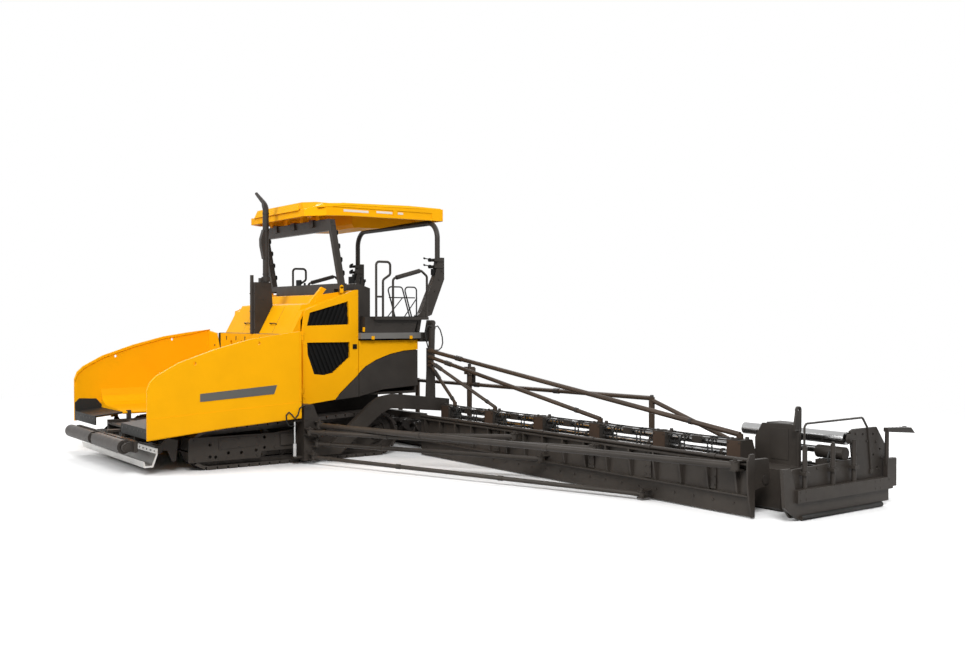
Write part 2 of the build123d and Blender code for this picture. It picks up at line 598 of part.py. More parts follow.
# ---- body ----
def make_hood():
    """Folded hood with a stepped centre between two plain shoulders, and the doors' fixed hinges."""
    sheet = HOOD_SHEET
    (xl, zl), (xh, zh), (xs, zs), (xr, zr) = HOOD_LOW, HOOD_HIGH, HOOD_STEP, HOOD_REAR
    edge_y = 1180
    centre = plate_xz([(xl, DECK_Z), (xl, zl), (xh, zh), (xs + 50, zh + 30), (xs, zs), (xr, zr),
                       (xr, zr - sheet), (xs - 25, zs - sheet), (xs + 20, zh - 8), (xh - 22, zh - sheet),
                       (xl - sheet, zl - 12), (xl - sheet, DECK_Z)], -edge_y, edge_y)
    shoulder = plate_xz([(xl, DECK_Z), (xl, zl), (740, 2400), (xr, 2745), (xr, 2745 - sheet), (715, 2362),
                         (xl - sheet, zl - 12), (xl - sheet, DECK_Z)], edge_y, DOOR_CLEAR_Y)
    cheek = plate_xz([(760, 2360), (xh, zh), (xs + 50, zh + 30), (xs, zs), (xr, 2745), (xr, zr - sheet),
                      (700, 2350)], edge_y - 30, edge_y)
    fin = plate_xz([(570, 2490), (455, 2500), (225, 2760), (310, 2795)], edge_y - 80, edge_y - 20)
    jamb = plate_xz([(DOOR_HINGE_X + 4, DECK_Z), (xl - 35, DECK_Z), (xl - 35, zl - 10),
                     (DOOR_HINGE_X + 4, 2280)], DOOR_CLEAR_Y - 40, DOOR_CLEAR_Y)
    hinges = [make_fixed_knuckle(z) for z in DOOR_HINGE_ZS]
    return fuse([centre] + both([shoulder, cheek, fin, jamb] + hinges))


def make_fixed_knuckle(z):
    """Knuckle, arm and pin of a door hinge."""
    arm = block((DOOR_HINGE_X + 4, DOOR_HINGE_X + 26), (DOOR_CLEAR_Y - 5, BODY_Y + 8), (z, z + KNUCKLE_TALL))
    low, high = z - 64, z + KNUCKLE_TALL + 64
    knuckle = rod((DOOR_HINGE_X, BODY_Y, z), (DOOR_HINGE_X, BODY_Y, z + KNUCKLE_TALL), KNUCKLE_R)
    return fuse([arm, knuckle, rod((DOOR_HINGE_X, BODY_Y, low), (DOOR_HINGE_X, BODY_Y, high), DOOR_PIN_R)])


def make_engine():
    return [block((-80, 720), (-420, 420), (DECK_Z + SEAT_GAP, 2250))]


DOOR_OUTLINE = ((DOOR_HINGE_X, 890), (DOOR_HINGE_X, 2090), (735, 2410), (-185, 2750), (-235, 2750),
                (-235, 1355),
                (105, 1060), (195, 955))


def make_door():
    inner = BODY_Y - PANEL_THICK
    door = plate_xz(DOOR_OUTLINE, inner, BODY_Y)
    for opening in (UPPER_OPENING, LOWER_OPENING):
        door -= plate_xz(opening, inner - 1, BODY_Y + 1)
    for z in DOOR_HINGE_ZS:
        low, high = z - 4, z + KNUCKLE_TALL + 4
        door -= block((DOOR_HINGE_X - 25, DOOR_HINGE_X + 1), (inner - 1, BODY_Y + 1), (low, high))
        for start in (low - 60, high):
            axis = (DOOR_HINGE_X, BODY_Y)
            door += rod((*axis, start), (*axis, start + 60), KNUCKLE_R)
            door -= rod((*axis, start - 1), (*axis, start + 61), DOOR_PIN_R + PIN_GAP)
    return door


def make_grille():
    """Slanted louvres in each opening of an engine door, on a backing sheet."""
    back = BODY_Y - PANEL_THICK - SEAT_GAP
    pieces = []
    for outline, lean in ((UPPER_OPENING, -SLAT_LEAN), (LOWER_OPENING, SLAT_LEAN)):
        face = make_face(Polyline(*[(x, back - 12, z) for x, z in outline], close=True))
        sheet = extrude(offset(face, 22, kind=Kind.INTERSECTION), 12, dir=(0, 1, 0))
        room = extrude(offset(face, -4, kind=Kind.INTERSECTION), 34, dir=(0, 1, 0))
        xs, zs = [x for x, _ in outline], [z for _, z in outline]
        run = lean * (max(zs) - min(zs))
        slats = []
        for i in range(int((max(xs) - min(xs) + abs(run)) / SLAT_PITCH)):
            x = min(xs) + (i + 0.5) * SLAT_PITCH - max(run, 0)
            slats.append(plate_xz([(x, min(zs)), (x + SLAT_WIDTH, min(zs)), (x + SLAT_WIDTH + run, max(zs)),
                                   (x + run, max(zs))], back - 1, back + 22))
        pieces.append(sheet + (fuse(slats) & room))
    return pieces


def make_side_panel():
    """Fixed yellow panel behind the engine door."""
    return plate_xz([(-245, 1910), (-245, 1375), (-365, 1480), (-580, 1590), (-845, 1680), (-1110, 1730),
                     (BODY_REAR_X, 1750), (BODY_REAR_X, 1910)], BODY_Y - PANEL_THICK, BODY_Y)


def make_skirt():
    front = plate_xz([(190, 945), (95, 1050), (-245, 1345), (-245, 985)],
                     BODY_Y - PANEL_THICK, BODY_Y - 6)
    rear = plate_xz([(-255, 1365), (-370, 1470), (-585, 1580), (-848, 1670), (-1112, 1720),
                     (BODY_REAR_X, 1740), (BODY_REAR_X, 1130), (-700, 1085), (-255, 985)],
                    BODY_Y - PANEL_THICK, BODY_Y - 6)
    return front + rear


def make_exhaust():
    """Stack bent forward at its top, its heat shield, its foot clamp and the guard around its foot."""
    base = HOPPER_TOP_Z + 20 + SEAT_GAP
    x, top = EXHAUST_X, EXHAUST_TOP_Z
    guard = plate_xz([(HOOD_LOW[0] + SEAT_GAP, HOOD_LOW[1] + SEAT_GAP), (HOOD_LOW[0] + SEAT_GAP, base + 12),
                      (955, base), (1015, base), (1015, 2890), (720, 2890),
                       (HOOD_HIGH[0] + 1.5 * SEAT_GAP, HOOD_HIGH[1])],
                     -GUARD_HALF, GUARD_HALF)
    post = rod((1024, 0, base), (1024, 0, 3010), 30)
    stack = pipe([(x, 0, 2600), (x, 0, top - 190), (x + 200, 0, top)], EXHAUST_R, 170)
    stack -= plate_xz([(x + 52, top - 145), (x + 175, top + 5), (x + 175, top + 100), (x + 400, top + 100),
                       (x + 400, top - 300), (x + 52, top - 300)], -200, 200)
    low, high = SHIELD_Z
    shield = plate_xz([(x, low), (x + 56, low), (x + 100, low + 220), (x + 104, low + 340),
                       (x + 58, high), (x, high)],
                      -45, 45)
    clamp = rod((x, 0, 2900), (x, 0, 2985), EXHAUST_R + 24) + block((x, x + 120), (-40, 40), (2885, 2965))
    return fuse([guard, post, stack, shield, clamp])


# ---- operator's platform ----
def make_platform():
    tall = (PLATFORM_Z, PLATFORM_Z + PLATFORM_THICK)
    return [block((BODY_REAR_X + SEAT_GAP, -235), (-PLATFORM_Y, PLATFORM_Y), tall)]


def make_deck_boxes():
    top = PLATFORM_Z + PLATFORM_THICK + SEAT_GAP
    box = plate_xz([(-305, top), (-305, 2300), (-1350, 2300), (-1265, top)], 1150, PLATFORM_Y)
    bulkhead = block((-300, -240), (-1340, 1340), (top, 2760))
    desk = plate_xz([(-300, top), (-300, 2850), (-360, 2870), (-610, 2790), (-610, top)], 850, 1140)
    return fuse([bulkhead] + both([box, desk]))


def make_rails():
    loop = pipe([(-490, RAIL_Y, 2300), (-490, RAIL_Y, 3220), (-760, RAIL_Y, 3220), (-760, RAIL_Y, 3010),
                 (-620, RAIL_Y, 2920), (-620, RAIL_Y, 2300)], RAIL_R, 60)
    back = pipe([(-815, RAIL_Y, 2300), (-815, RAIL_Y, 2945), (-1370, RAIL_Y, 3095), (-1490, RAIL_Y, 3000),
                 (-1490, RAIL_Y, 2300)], RAIL_R, 60)
    mid = rod((-490, RAIL_Y, 2640), (-620, RAIL_Y, 2640), RAIL_R - 4)
    pad = rod((-880, RAIL_Y, 2963), (-1340, RAIL_Y, 3087), 38)
    foot = block((-1512, -460), (PLATFORM_Y + SEAT_GAP, RAIL_Y + 25), (2255, 2300))
    return fuse([loop, back, mid, pad, foot])


def make_seat():
    """Pair of folding tube seats that stand on a deck box."""
    y, low, high = 1470, 2300 + 12 + SEAT_GAP, 2810
    pieces = [block((-1330, -740), (y - 22, y + 12), (2300 + SEAT_GAP, 2300 + 14))]
    for front, rear, lean in ((-750, -1040, 150), (-1080, -1330, 0)):
        hoop = [(front - 150, y, low), (front, y, high), (rear, y, high), (rear - lean, y, low)]
        pieces.append(pipe(hoop, 12, 60))
        pieces.append(rod((front - 20, y - 14, low), (rear - 20, y - 14, 2630), 9))
    pieces.append(rod((-790, y - 8, 2630), (-1300, y - 8, 2630), 10))
    return [fuse(pieces)]


def make_canopy_frame():
    post = plate_xz([(-50, 2740), (45, 2740), (255, 3900), (160, 3900)], FRONT_POST_Y - 45, FRONT_POST_Y + 45)
    grips = [rod((x, FRONT_POST_Y - 52, z - 45), (x + 16, FRONT_POST_Y - 52, z + 45), 20)
             for x, z in ((50, 3050), (95, 3300), (140, 3550))]
    beam = plate_xz([(126, 3720), (221, 3720), (255, 3905), (160, 3905)], -FRONT_POST_Y, FRONT_POST_Y)
    boxes = [block((150, 275), (y - 75, y + 75), (3800, 3925)) for y in (-700.0, 0.0, 700.0)]
    fall = (HOOD_REAR[1] - HOOD_STEP[1]) / (HOOD_STEP[0] - HOOD_REAR[0])
    seat_z = HOOD_STEP[1] + fall * HOOD_STEP[0] + SEAT_GAP
    sill = plate_xz([(-60, seat_z + 60 * fall), (60, seat_z - 60 * fall), (60, 2856), (-60, 2856)],
                    -1100, 1100)
    sill += block((-60, 60), (-FRONT_POST_Y - 45, FRONT_POST_Y + 45), (2765, 2856))
    hoop = pipe([(-1805, REAR_POST_Y, 3140), (-1805, REAR_POST_Y, 3950), (-1805, -REAR_POST_Y, 3950),
                 (-1805, -REAR_POST_Y, 3140)], CANOPY_TUBE_R, 280)
    arm = plate_xz([(-1910, 3335), (-1790, 3335), (-1720, 3010), (-1425, 2370), (-1360, 2330),
                    (-1355, 2040 + SEAT_GAP), (-1398, 2040 + SEAT_GAP), (-1440, 2260), (-1650, 2340), (-1910, 2960)],
                   REAR_POST_Y - 60, REAR_POST_Y + 60)
    clamp = [block((-1895, -1700), (REAR_POST_Y - 75, REAR_POST_Y + 75), (z, z + 50)) for z in (3150, 3265)]
    lever = [rod((-1700, REAR_POST_Y, z + 25), (-1660, REAR_POST_Y, z + 25), 26) for z in (3150, 3265)]
    return fuse([beam, sill, hoop] + boxes + both([post, arm] + grips + clamp + lever))


def make_roof():
    """Pressed roof with a deep rim, cut front corners, a raised centre and a pan hung below it."""
    plan = [(570, -1050), (300, -ROOF_Y), (-1990, -ROOF_Y), (-2030, -ROOF_Y + 70), (-2030, ROOF_Y - 70),
            (-1990, ROOF_Y), (300, ROOF_Y), (570, 1050)]
    side = [(600, 3950), (600, 4060), (480, 4090), (105, 4130), (-100, 4160), (-1990, 4190), (-2060, 4150),
            (-2060, 3985), (-1760, 3985), (-100, 3975), (340, 3955)]
    inner_plan = [(500, -990), (260, -ROOF_Y + 50), (-1970, -ROOF_Y + 50), (-1970, ROOF_Y - 50),
                  (260, ROOF_Y - 50), (500, 990)]
    pocket = [(620, 3800), (600, 4030), (480, 4060), (105, 4100), (-100, 4130), (-2000, 4160), (-2000, 3800)]
    roof = plate_xy(plan, 3900, 4300) & plate_xz(side, -1400, 1400)
    roof -= plate_xy(inner_plan, 3850, 4300) & plate_xz(pocket, -1400, 1400)
    crown_plan = [(360, -880), (180, -1120), (-1860, -1120), (-1900, -1080), (-1900, 1080), (-1860, 1120),
                  (180, 1120), (360, 880)]
    crown = plate_xz([(600, 4050), (330, 4118), (-100, 4205), (-1850, 4225), (-1900, 4170), (-100, 4140),
                      (105, 4110), (480, 4065)], -1400, 1400)
    roof += plate_xy(crown_plan, 3900, 4300) & crown
    for x_low, x_high in ((-980, 180), (-1760, -1050)):
        for y in (ROOF_Y, -ROOF_Y):
            roof -= block((x_low, x_high), (y - 12, y + 12), (4015, 4110))
    for y in (-900.0, -300.0, 300.0, 900.0):
        roof += block((165, 250), (y - 60, y + 60), (3905 + SEAT_GAP, 4100))
    rear = block((-1870, -1740), (-ROOF_Y + 40, ROOF_Y - 40), (3995 + SEAT_GAP, 4140))
    pan = plate_xz([(-480, 3900), (-510, 3835), (-1050, 3850), (-1745, 4000), (-1745, 4130), (-480, 4130)],
                   -760, 760)
    pan -= block((-1680, -560), (-700, 700), (4010, 4200))
    return [fuse([roof, rear, pan])]


# ---- augers, baffles and their braces ----
def make_auger():
    shaft = pin_y(AUGER_X, AUGER_Z, AUGER_START_Y, AUGER_END_Y, AUGER_SHAFT_R)
    flights = []
    for start, end, count in FLIGHTS:
        step = (end - start) / count
        lean = degrees(atan2(step / 2, AUGER_R))
        ring = Cylinder(AUGER_R, FLIGHT_THICK, arc_size=180) - Cylinder(AUGER_SHAFT_R - 12, 2 * FLIGHT_THICK)
        for i in range(count):
            half = Rot(0, 0, 180 * (i % 2)) * Rot(0, lean, 0) * ring
            centre = (AUGER_X, start + (i + 0.5) * step, AUGER_Z)
            place = Plane(origin=centre, x_dir=(1, 0, 0), z_dir=(0, 1, 0))
            flights.append(place * half)
    return fuse([shaft] + flights)


def make_auger_carrier():
    """Beam across the machine's tail, the drive case between the augers and the outer hangers."""
    beam = block((BAFFLE_X - 120, BAFFLE_X), (-BAFFLE_START_Y + SEAT_GAP, BAFFLE_START_Y - SEAT_GAP),
                 (590, 690))
    link = both([block((BAFFLE_X, CHASSIS_REAR_X), (BEAM_Y, BEAM_Y + BEAM_THICK), (590, 690))])
    case = block((AUGER_X - 90, AUGER_X + 90), (-150, 150), (AUGER_Z - 120, AUGER_Z + 260))
    neck = block((AUGER_X + 80, BAFFLE_X - 110), (-120, 120), (590, AUGER_Z + 260))
    stub = [pin_y(AUGER_X, AUGER_Z, 150, AUGER_START_Y - SEAT_GAP, 90),
            pin_y(AUGER_X, AUGER_Z, -AUGER_START_Y + SEAT_GAP, -150, 90)]
    return fuse([beam, case, neck] + link + stub)


def make_hanger(y):
    arm = plate_xz([(BAFFLE_X - BAFFLE_THICK, 300), (BAFFLE_X - BAFFLE_THICK, BAFFLE_TOP_Z),
                    (AUGER_X - 60, BAFFLE_TOP_Z), (AUGER_X - 85, AUGER_Z), (AUGER_X - 40, AUGER_Z - 85),
                    (AUGER_X + 40, AUGER_Z - 85)], y - HANGER_THICK / 2, y + HANGER_THICK / 2)
    return arm - pin_y(AUGER_X, AUGER_Z, y - HANGER_THICK, y + HANGER_THICK, AUGER_SHAFT_R + PIN_GAP)


def make_baffle():
    """Folded sheet with tapered ribs, a round top bar and an end plate, and the auger's hangers."""
    rear = BAFFLE_X - BAFFLE_THICK
    along = (BAFFLE_START_Y, BAFFLE_END_Y)
    sheet = block((rear, BAFFLE_X), along, (BAFFLE_LOW_Z, BAFFLE_TOP_Z))
    flange = block((BAFFLE_X, BAFFLE_X + 55), along, (BAFFLE_FOLD_Z, BAFFLE_FOLD_Z + 18))
    top = block((BAFFLE_X, BAFFLE_X + 75), along, (BAFFLE_TOP_Z - 50, BAFFLE_TOP_Z - 32))
    bar = pin_y(BAFFLE_X + 8, BAFFLE_TOP_Z, *along, 24)
    ribs = []
    count = 16
    step = (BAFFLE_END_Y - BAFFLE_START_Y) / count
    for i in range(count):
        y = BAFFLE_START_Y + (i + 0.5) * step
        ribs.append(plate_xz([(BAFFLE_X, BAFFLE_FOLD_Z + 10), (BAFFLE_X + 30, BAFFLE_FOLD_Z + 10),
                              (BAFFLE_X + 75, BAFFLE_TOP_Z - 130), (BAFFLE_X + 75, BAFFLE_TOP_Z - 40),
                              (BAFFLE_X, BAFFLE_TOP_Z - 40)], y - 14, y + 14))
    end = plate_xz([(rear, BAFFLE_LOW_Z), (BAFFLE_X + 20, BAFFLE_LOW_Z), (BAFFLE_X + 70, 180),
                    (BAFFLE_X + 100, 420), (BAFFLE_X + 100, BAFFLE_TOP_Z),
                    (BAFFLE_X + 60, BAFFLE_TOP_Z + 80), (rear, BAFFLE_TOP_Z + 80)],
                   BAFFLE_END_Y - 24, BAFFLE_END_Y)
    hangers = [make_hanger(y) for y in (INNER_HANGER_Y, OUTER_HANGER_Y)]
    lugs = []
    for _, _, y, z, radius in BRACES:
        for low in brace_lug_lows(z, radius):
            lugs.append(block((BAFFLE_X, BAFFLE_X + BRACE_OUT + 45), (y - 45, y + 45),
                              (low, low + BRACE_LUG)))
    return fuse([sheet, flange, top, bar, end] + ribs + hangers + lugs)


def make_braces():
    """Long bars with an eye at each end, from the tow column out to the baffle."""
    pieces = []
    for x, z, end_y, end_z, radius in BRACES:
        start = (x, CHEEK_OUT_Y + CHEEK_THICK + BRACE_OUT, z)
        end = (BAFFLE_X + BRACE_OUT, end_y, end_z)
        eyes = [rod((px, py, pz - radius - 3), (px, py, pz + radius + 3), radius + 8)
                for px, py, pz in (start, end)]
        pieces.append(fuse([rod(start, end, radius)] + eyes))
    return pieces


# ---- screed ----
def make_tow_arm():
    outline = [(870, 105), (870, 270), (480, 275), (405, 300), (5, 625), (-300, 880), (-475, 985),
               (-765, 1025), (-1850, 900), (-1850, 500 + SEAT_GAP), (-1770, 500 + SEAT_GAP), (-1770, 690),
               (-675, 790), (-500, 710), (-355, 605), (150, 200), (260, 105)]
    arm = plate_xz(outline, ARM_Y - ARM_WIDTH / 2, ARM_Y + ARM_WIDTH / 2)
    arm -= pin_y(TOW_X, TOW_Z, ARM_Y - 100, ARM_Y + 100, TOW_PIN_R + PIN_GAP)
    mast = plate_xz([(-1570, 880), (-1560, 1400), (-1500, 1780), (-1400, 1780), (-1400, 1400), (-1380, 900)],
                    MAST_Y + 5, MAST_Y + 35)
    return arm + mast


def make_screed():
    """Bolted sections: base plate, frame and mouldboard, all at the finished width."""
    rear = SCREED_FRONT_X - SCREED_DEPTH
    profile = [(SCREED_FRONT_X, 40), (SCREED_FRONT_X - 40, 0), (rear, 0), (rear, 240), (rear + 140, 300),
               (rear + 140, SCREED_TOP_Z), (SCREED_FRONT_X, SCREED_TOP_Z)]
    body = plate_xz(profile, -SCREED_HALF, SCREED_HALF)
    walkway = block((rear - 320, rear), (-SCREED_HALF + 1300, SCREED_HALF - 1300), (200, 235))
    joints = []
    for i in range(BOX_COUNT):
        y = FIRST_BOX_Y + (i - 0.5) * SECTION_LENGTH
        joints.append(plate_xz([(SCREED_FRONT_X + 18, 60), (SCREED_FRONT_X + 18, SCREED_TOP_Z + 35),
                                (rear + 120, SCREED_TOP_Z + 35), (rear + 120, 300), (rear - 20, 240),
                                (rear - 20, 20), (SCREED_FRONT_X - 30, 20)], y - 22, y + 22))
    return fuse([body, walkway] + both(joints))


def make_drive_boxes():
    pieces = []
    x_low, x_high = BOX_X
    for i in range(BOX_COUNT):
        y = FIRST_BOX_Y + i * SECTION_LENGTH
        box = plate_xz([(x_high, SCREED_TOP_Z + SEAT_GAP), (x_high, BOX_TOP_Z), (x_low, BOX_TOP_Z),
                        (x_low - 60, 640), (x_low - 60, SCREED_TOP_Z + SEAT_GAP)], y - BOX_HALF, y + BOX_HALF)
        pieces.append(box)
    return pieces


def make_cover_tubes():
    pieces = []
    for i in range(BOX_COUNT - 1):
        start = FIRST_BOX_Y + i * SECTION_LENGTH + BOX_HALF + SEAT_GAP
        for x, z, radius in COVER_TUBES:
            pieces.append(pin_y(x, z, start, start + SECTION_LENGTH - 2 * (BOX_HALF + SEAT_GAP), radius))
    return pieces


def make_stays():
    """Fan of stay rods from the mast down to feet on the drive boxes."""
    x_start, x_end = -1450, -1790
    face = MAST_Y + 35 + SEAT_GAP
    pieces = []
    for z, number, past, radius in STAYS:
        end_y = FIRST_BOX_Y + number * SECTION_LENGTH + past
        foot_z = BOX_TOP_Z + SEAT_GAP
        end_z = foot_z + radius + 20
        pieces.append(pin_y(x_start, z, face, face + 70, radius + 8))
        pieces.append(rod((x_start, face + 40, z), (x_end, end_y, end_z), radius))
        pieces.append(rod((x_end, end_y, foot_z), (x_end, end_y, end_z + 10), radius + 8))
    return fuse(pieces)


def make_truss():
    """Top chord behind the boxes, with its posts and the outer tie."""
    x = TRUSS_X
    (near_y, near_z), (far_y, far_z) = TRUSS_POSTS
    tie_y, tie_z = TRUSS_TIE_END
    foot = SCREED_TOP_Z + SEAT_GAP
    chord = rod((x, 300, 1140), (x, far_y, 1175), 32)
    post = rod((x, far_y, foot), (x, far_y, far_z), 42)
    tie = rod((x, far_y, 1150), (x, tie_y, tie_z), 30)
    stub = rod((x, tie_y, foot), (x, tie_y, tie_z + 45), 40)
    inner = rod((x, 300, foot), (x, 300, 1180), 42)
    jack = rod((x, near_y, foot), (x, near_y, near_z - 60), 45)
    jack += block((x - 65, x + 65), (near_y - 70, near_y + 70), (near_z - 130, near_z))
    return fuse([chord, post, tie, stub, inner, jack])


def make_extension_housing():
    """Guide case of both tubes on the end of the screed frame, with its front plate and feet."""
    case = block((TUBE_X - 130, TUBE_X + 130), CASE_Y, (620, 975))
    shelf = block((TUBE_X + 130, -2170), CASE_Y, (640, 690))
    start = CASE_Y[0]
    face = plate_yz([(start, SCREED_TOP_Z - 5), (LUG_Y + 15, SCREED_TOP_Z - 5), (LUG_Y + 15, 960),
                     (start + 550, 1000), (start + 110, 985), (start, 800)], -2170, -2145)
    sides = block((-2165, -2120), (LUG_Y - 15, LUG_Y + 15), (SCREED_TOP_Z - 5, 960))
    case = fuse([case, shelf, face, sides])
    case -= pin_y(TUBE_X, TUBE_Z, CASE_Y[0] - 50, CASE_Y[1] + 50, TUBE_R + PIN_GAP)
    x, z, radius = LOW_TUBE
    return case - pin_y(x, z, CASE_Y[0] - 50, CASE_Y[1] + 50, radius + PIN_GAP)


def make_lifting_lug():
    lug = plate_xz([(LUG_X - 45, 930), (LUG_X + 75, 930), (LUG_X + 75, 1000), (LUG_X + 45, LUG_Z - 20),
                    (LUG_X + 45, LUG_Z), (LUG_X - 45, LUG_Z)], LUG_Y - 15, LUG_Y + 15)
    lug += pin_y(LUG_X, LUG_Z, LUG_Y - 15, LUG_Y + 15, 45)
    return lug - pin_y(LUG_X, LUG_Z, LUG_Y - 20, LUG_Y + 20, LUG_HOLE_R)


def make_extension():
    """Sliding screed shoe, its end plate, guard rail and the brackets of the end gate's posts."""
    out = EXTENSION_OUT_Y
    shoe = block((EXTENSION_REAR_X, EXTENSION_FRONT_X), (CASE_Y[0] + 100, out), (0, 420))
    plate = plate_xz([(-1415, 25), (-1320, 130), (-1320, 467), (-1460, 572), (-2590, 600), (-2535, 935),
                      (-2600, 960), (-3065, 960), (-3275, 700), (-3230, 380), (-3060, 25)], out, out + 30)
    plate -= fuse([pin_y(x, z, out - 1, out + 31, 20)
                   for x, z in ((-2780, 880), (-2990, 870), (-3130, 680), (-3000, 620), (-3080, 460))])
    rail_y = out + 38
    rail = pipe([(-1650, rail_y, 540), (-1650, rail_y, 1080), (-2760, rail_y, 1090), (-2880, rail_y, 940),
                 (-2945, rail_y, 420)], GUARD_RAIL_R, 60)
    feet = [block((-1675, -1625), (out + 20, out + 48), (500, 560)),
            block((-2975, -2915), (out + 20, out + 48), (400, 450))]
    plate = fuse([plate, rail] + feet)
    post_y = GATE_Y + GATE_THICK / 2
    for x in GATE_POST_XS:
        plate += block((x - 42, x + 42), (out + 30, post_y + 45), (500, 540))
        plate -= rod((x, post_y, 490), (x, post_y, 550), GATE_POST_R + PIN_GAP)
    return shoe + plate


def make_extension_tube():
    x, z, radius = LOW_TUBE
    end = EXTENSION_OUT_Y - SEAT_GAP
    start = CASE_Y[0]
    return [pin_y(TUBE_X, TUBE_Z, start - 450, end, TUBE_R), pin_y(x, z, start - 150, end, radius)]


def make_gate():
    middle = GATE_Y + GATE_THICK / 2
    posts = [rod((x, middle, 340), (x, middle, 820), GATE_POST_R) for x in GATE_POST_XS]
    low = [(-1225, 170), (-1185, 600), (-1325, 600), (-1415, 350), (-3215, 350), (-3215, 60), (-1455, 20)]
    plate = plate_xz(low, GATE_Y, GATE_Y + GATE_THICK)
    beam = block((-3255, -1415), (GATE_Y + GATE_THICK, GATE_Y + GATE_THICK + 35), (205, 350))
    runner = rod((-1500, GATE_Y + 50, 32), (-3050, GATE_Y + 50, 32), 28)
    bracket = block((-3335, -3145), (GATE_Y + 10, GATE_Y + 70), (230, 575))
    step = rod((-3165, GATE_Y + 45, 500), (-3165, GATE_Y + 45, 940), 25)
    tread = plate_xz([(-3140, 900), (-3140, 950), (-3640, 925), (STEP_TIP_X, 850), (-3600, 862)],
                     GATE_Y + 15, GATE_Y + 75)
    return fuse([plate, beam, runner, bracket, step, tread] + posts)


# ---- lift cylinder ----
def lift_line():
    dx, dz = LIFT_LOW[0] - LIFT_TOP[0], LIFT_LOW[1] - LIFT_TOP[1]
    length = hypot(dx, dz)
    return length, lambda way: (LIFT_TOP[0] + dx / length * way, LIFT_PIN_Y, LIFT_TOP[1] + dz / length * way)


def make_lift_barrel():
    length, at = lift_line()
    eye = pin_y(*LIFT_TOP, LIFT_PIN_Y - 36, LIFT_PIN_Y + 36, 48)
    barrel = eye + rod(at(30), at(570), LIFT_BARREL_R)
    barrel -= rod(at(70), at(571), LIFT_ROD_R + PIN_GAP)
    return barrel - pin_y(*LIFT_TOP, LIFT_PIN_Y - 60, LIFT_PIN_Y + 60, 25 + PIN_GAP)


def make_lift_rod():
    length, at = lift_line()
    stem = rod(at(length - 520), at(length - 20), LIFT_ROD_R)
    return stem + pin_y(*LIFT_LOW, LIFT_PIN_Y - 36, MAST_Y + 5 - SEAT_GAP, 45)


# ---- all nodes ----
def main():
    os.makedirs("parts", exist_ok=True)
    save("chassis_frame", [make_chassis()])
    save("hopper_rear_wall", [make_hopper_rear_wall()])
    save("conveyor", [make_conveyor()])
    track, wing, flap = make_track(), make_wing(), make_flap()
    wing_barrel, wing_rod = make_wing_cylinders()
    pairs = {
        "track": track, "hopper_wing": wing, "hopper_flap": flap,
        "wing_barrel": wing_barrel, "wing_rod": wing_rod,
        "push_roller": make_push_roller(), "auger": make_auger(),
        "engine_door": make_door(), "lift_barrel": make_lift_barrel(), "lift_rod": make_lift_rod(),
        "extension": make_extension(), "end_gate": make_gate(),
    }
    for name, shape in pairs.items():
        for side in ("left", "right"):
            save(f"{name}_{side}", [sided(shape, side)])
    for side in ("left", "right"):
        save(f"door_grille_{side}", [sided(piece, side) for piece in make_grille()])
        save(f"extension_tube_{side}", [sided(piece, side) for piece in make_extension_tube()])
    save("track_frames", both([make_track_frame()]))
    save("track_wheels", both(make_track_wheels()))
    save("tow_columns", both([make_tow_column()]))
    save("levelling_cylinders", both([make_levelling_cylinder()]))
    save("engine_block", make_engine())
    save("engine_hood", [make_hood()])
    save("exhaust", [make_exhaust()])
    save("side_panels", both([make_side_panel()]))
    save("side_skirts", both([make_skirt()]))
    save("platform", make_platform())
    save("deck_boxes", [make_deck_boxes()])
    save("handrails", both([make_rails()]))
    save("seats", both(make_seat()))
    save("canopy_frame", [make_canopy_frame()])
    save("roof", make_roof())
    save("push_beam", [make_push_beam()])
    save("front_deflector", [make_deflector()])
    save("auger_carrier", [make_auger_carrier()])
    save("baffles", both([make_baffle()]))
    save("baffle_braces", both(make_braces()))
    save("tow_arms", both([make_tow_arm()]))
    save("screed_body", [fuse([make_screed()] + both([make_extension_housing(), make_lifting_lug()]))])
    save("drive_boxes", both(make_drive_boxes()))
    save("cover_tubes", both(make_cover_tubes()))
    save("screed_stays", both([make_stays(), make_truss()]))


main()
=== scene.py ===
"""Visual model of a tracked asphalt paver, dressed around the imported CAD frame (metres, +X ahead, +Z up)."""
import json
import math

import bpy
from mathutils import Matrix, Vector

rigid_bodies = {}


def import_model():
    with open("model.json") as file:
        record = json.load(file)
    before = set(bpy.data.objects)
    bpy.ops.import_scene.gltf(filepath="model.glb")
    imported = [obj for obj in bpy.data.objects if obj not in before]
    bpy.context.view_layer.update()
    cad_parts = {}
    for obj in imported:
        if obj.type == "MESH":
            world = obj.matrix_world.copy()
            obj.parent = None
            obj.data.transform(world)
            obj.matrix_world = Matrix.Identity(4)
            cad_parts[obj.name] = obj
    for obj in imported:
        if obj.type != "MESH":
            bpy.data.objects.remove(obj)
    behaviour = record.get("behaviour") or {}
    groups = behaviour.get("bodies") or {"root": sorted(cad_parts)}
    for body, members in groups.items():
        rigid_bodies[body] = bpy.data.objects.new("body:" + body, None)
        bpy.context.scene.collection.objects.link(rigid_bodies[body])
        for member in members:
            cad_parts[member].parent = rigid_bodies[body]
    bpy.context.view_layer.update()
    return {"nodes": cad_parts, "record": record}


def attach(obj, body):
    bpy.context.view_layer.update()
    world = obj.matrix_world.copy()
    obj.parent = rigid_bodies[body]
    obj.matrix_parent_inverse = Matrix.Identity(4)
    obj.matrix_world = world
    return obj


# ---- places, in metres, that trim is fitted to ----
WING_OUT_Y = 1.880          # outer face of a hopper wing
BODY_Y = 1.400              # outer face of the body's side
TAIL_X = -1.400             # rear face of the body
GUARD_OUT_Y = 1.530         # outer face of a track guard
FRAME_OUT_Y = 1.3843        # outer face of a track frame
ROLLER_XS = (-0.15, 0.17, 0.49, 0.81, 1.13, 1.45, 1.77)
CHEEK_OUT_Y = 1.815         # outer face of a tow column
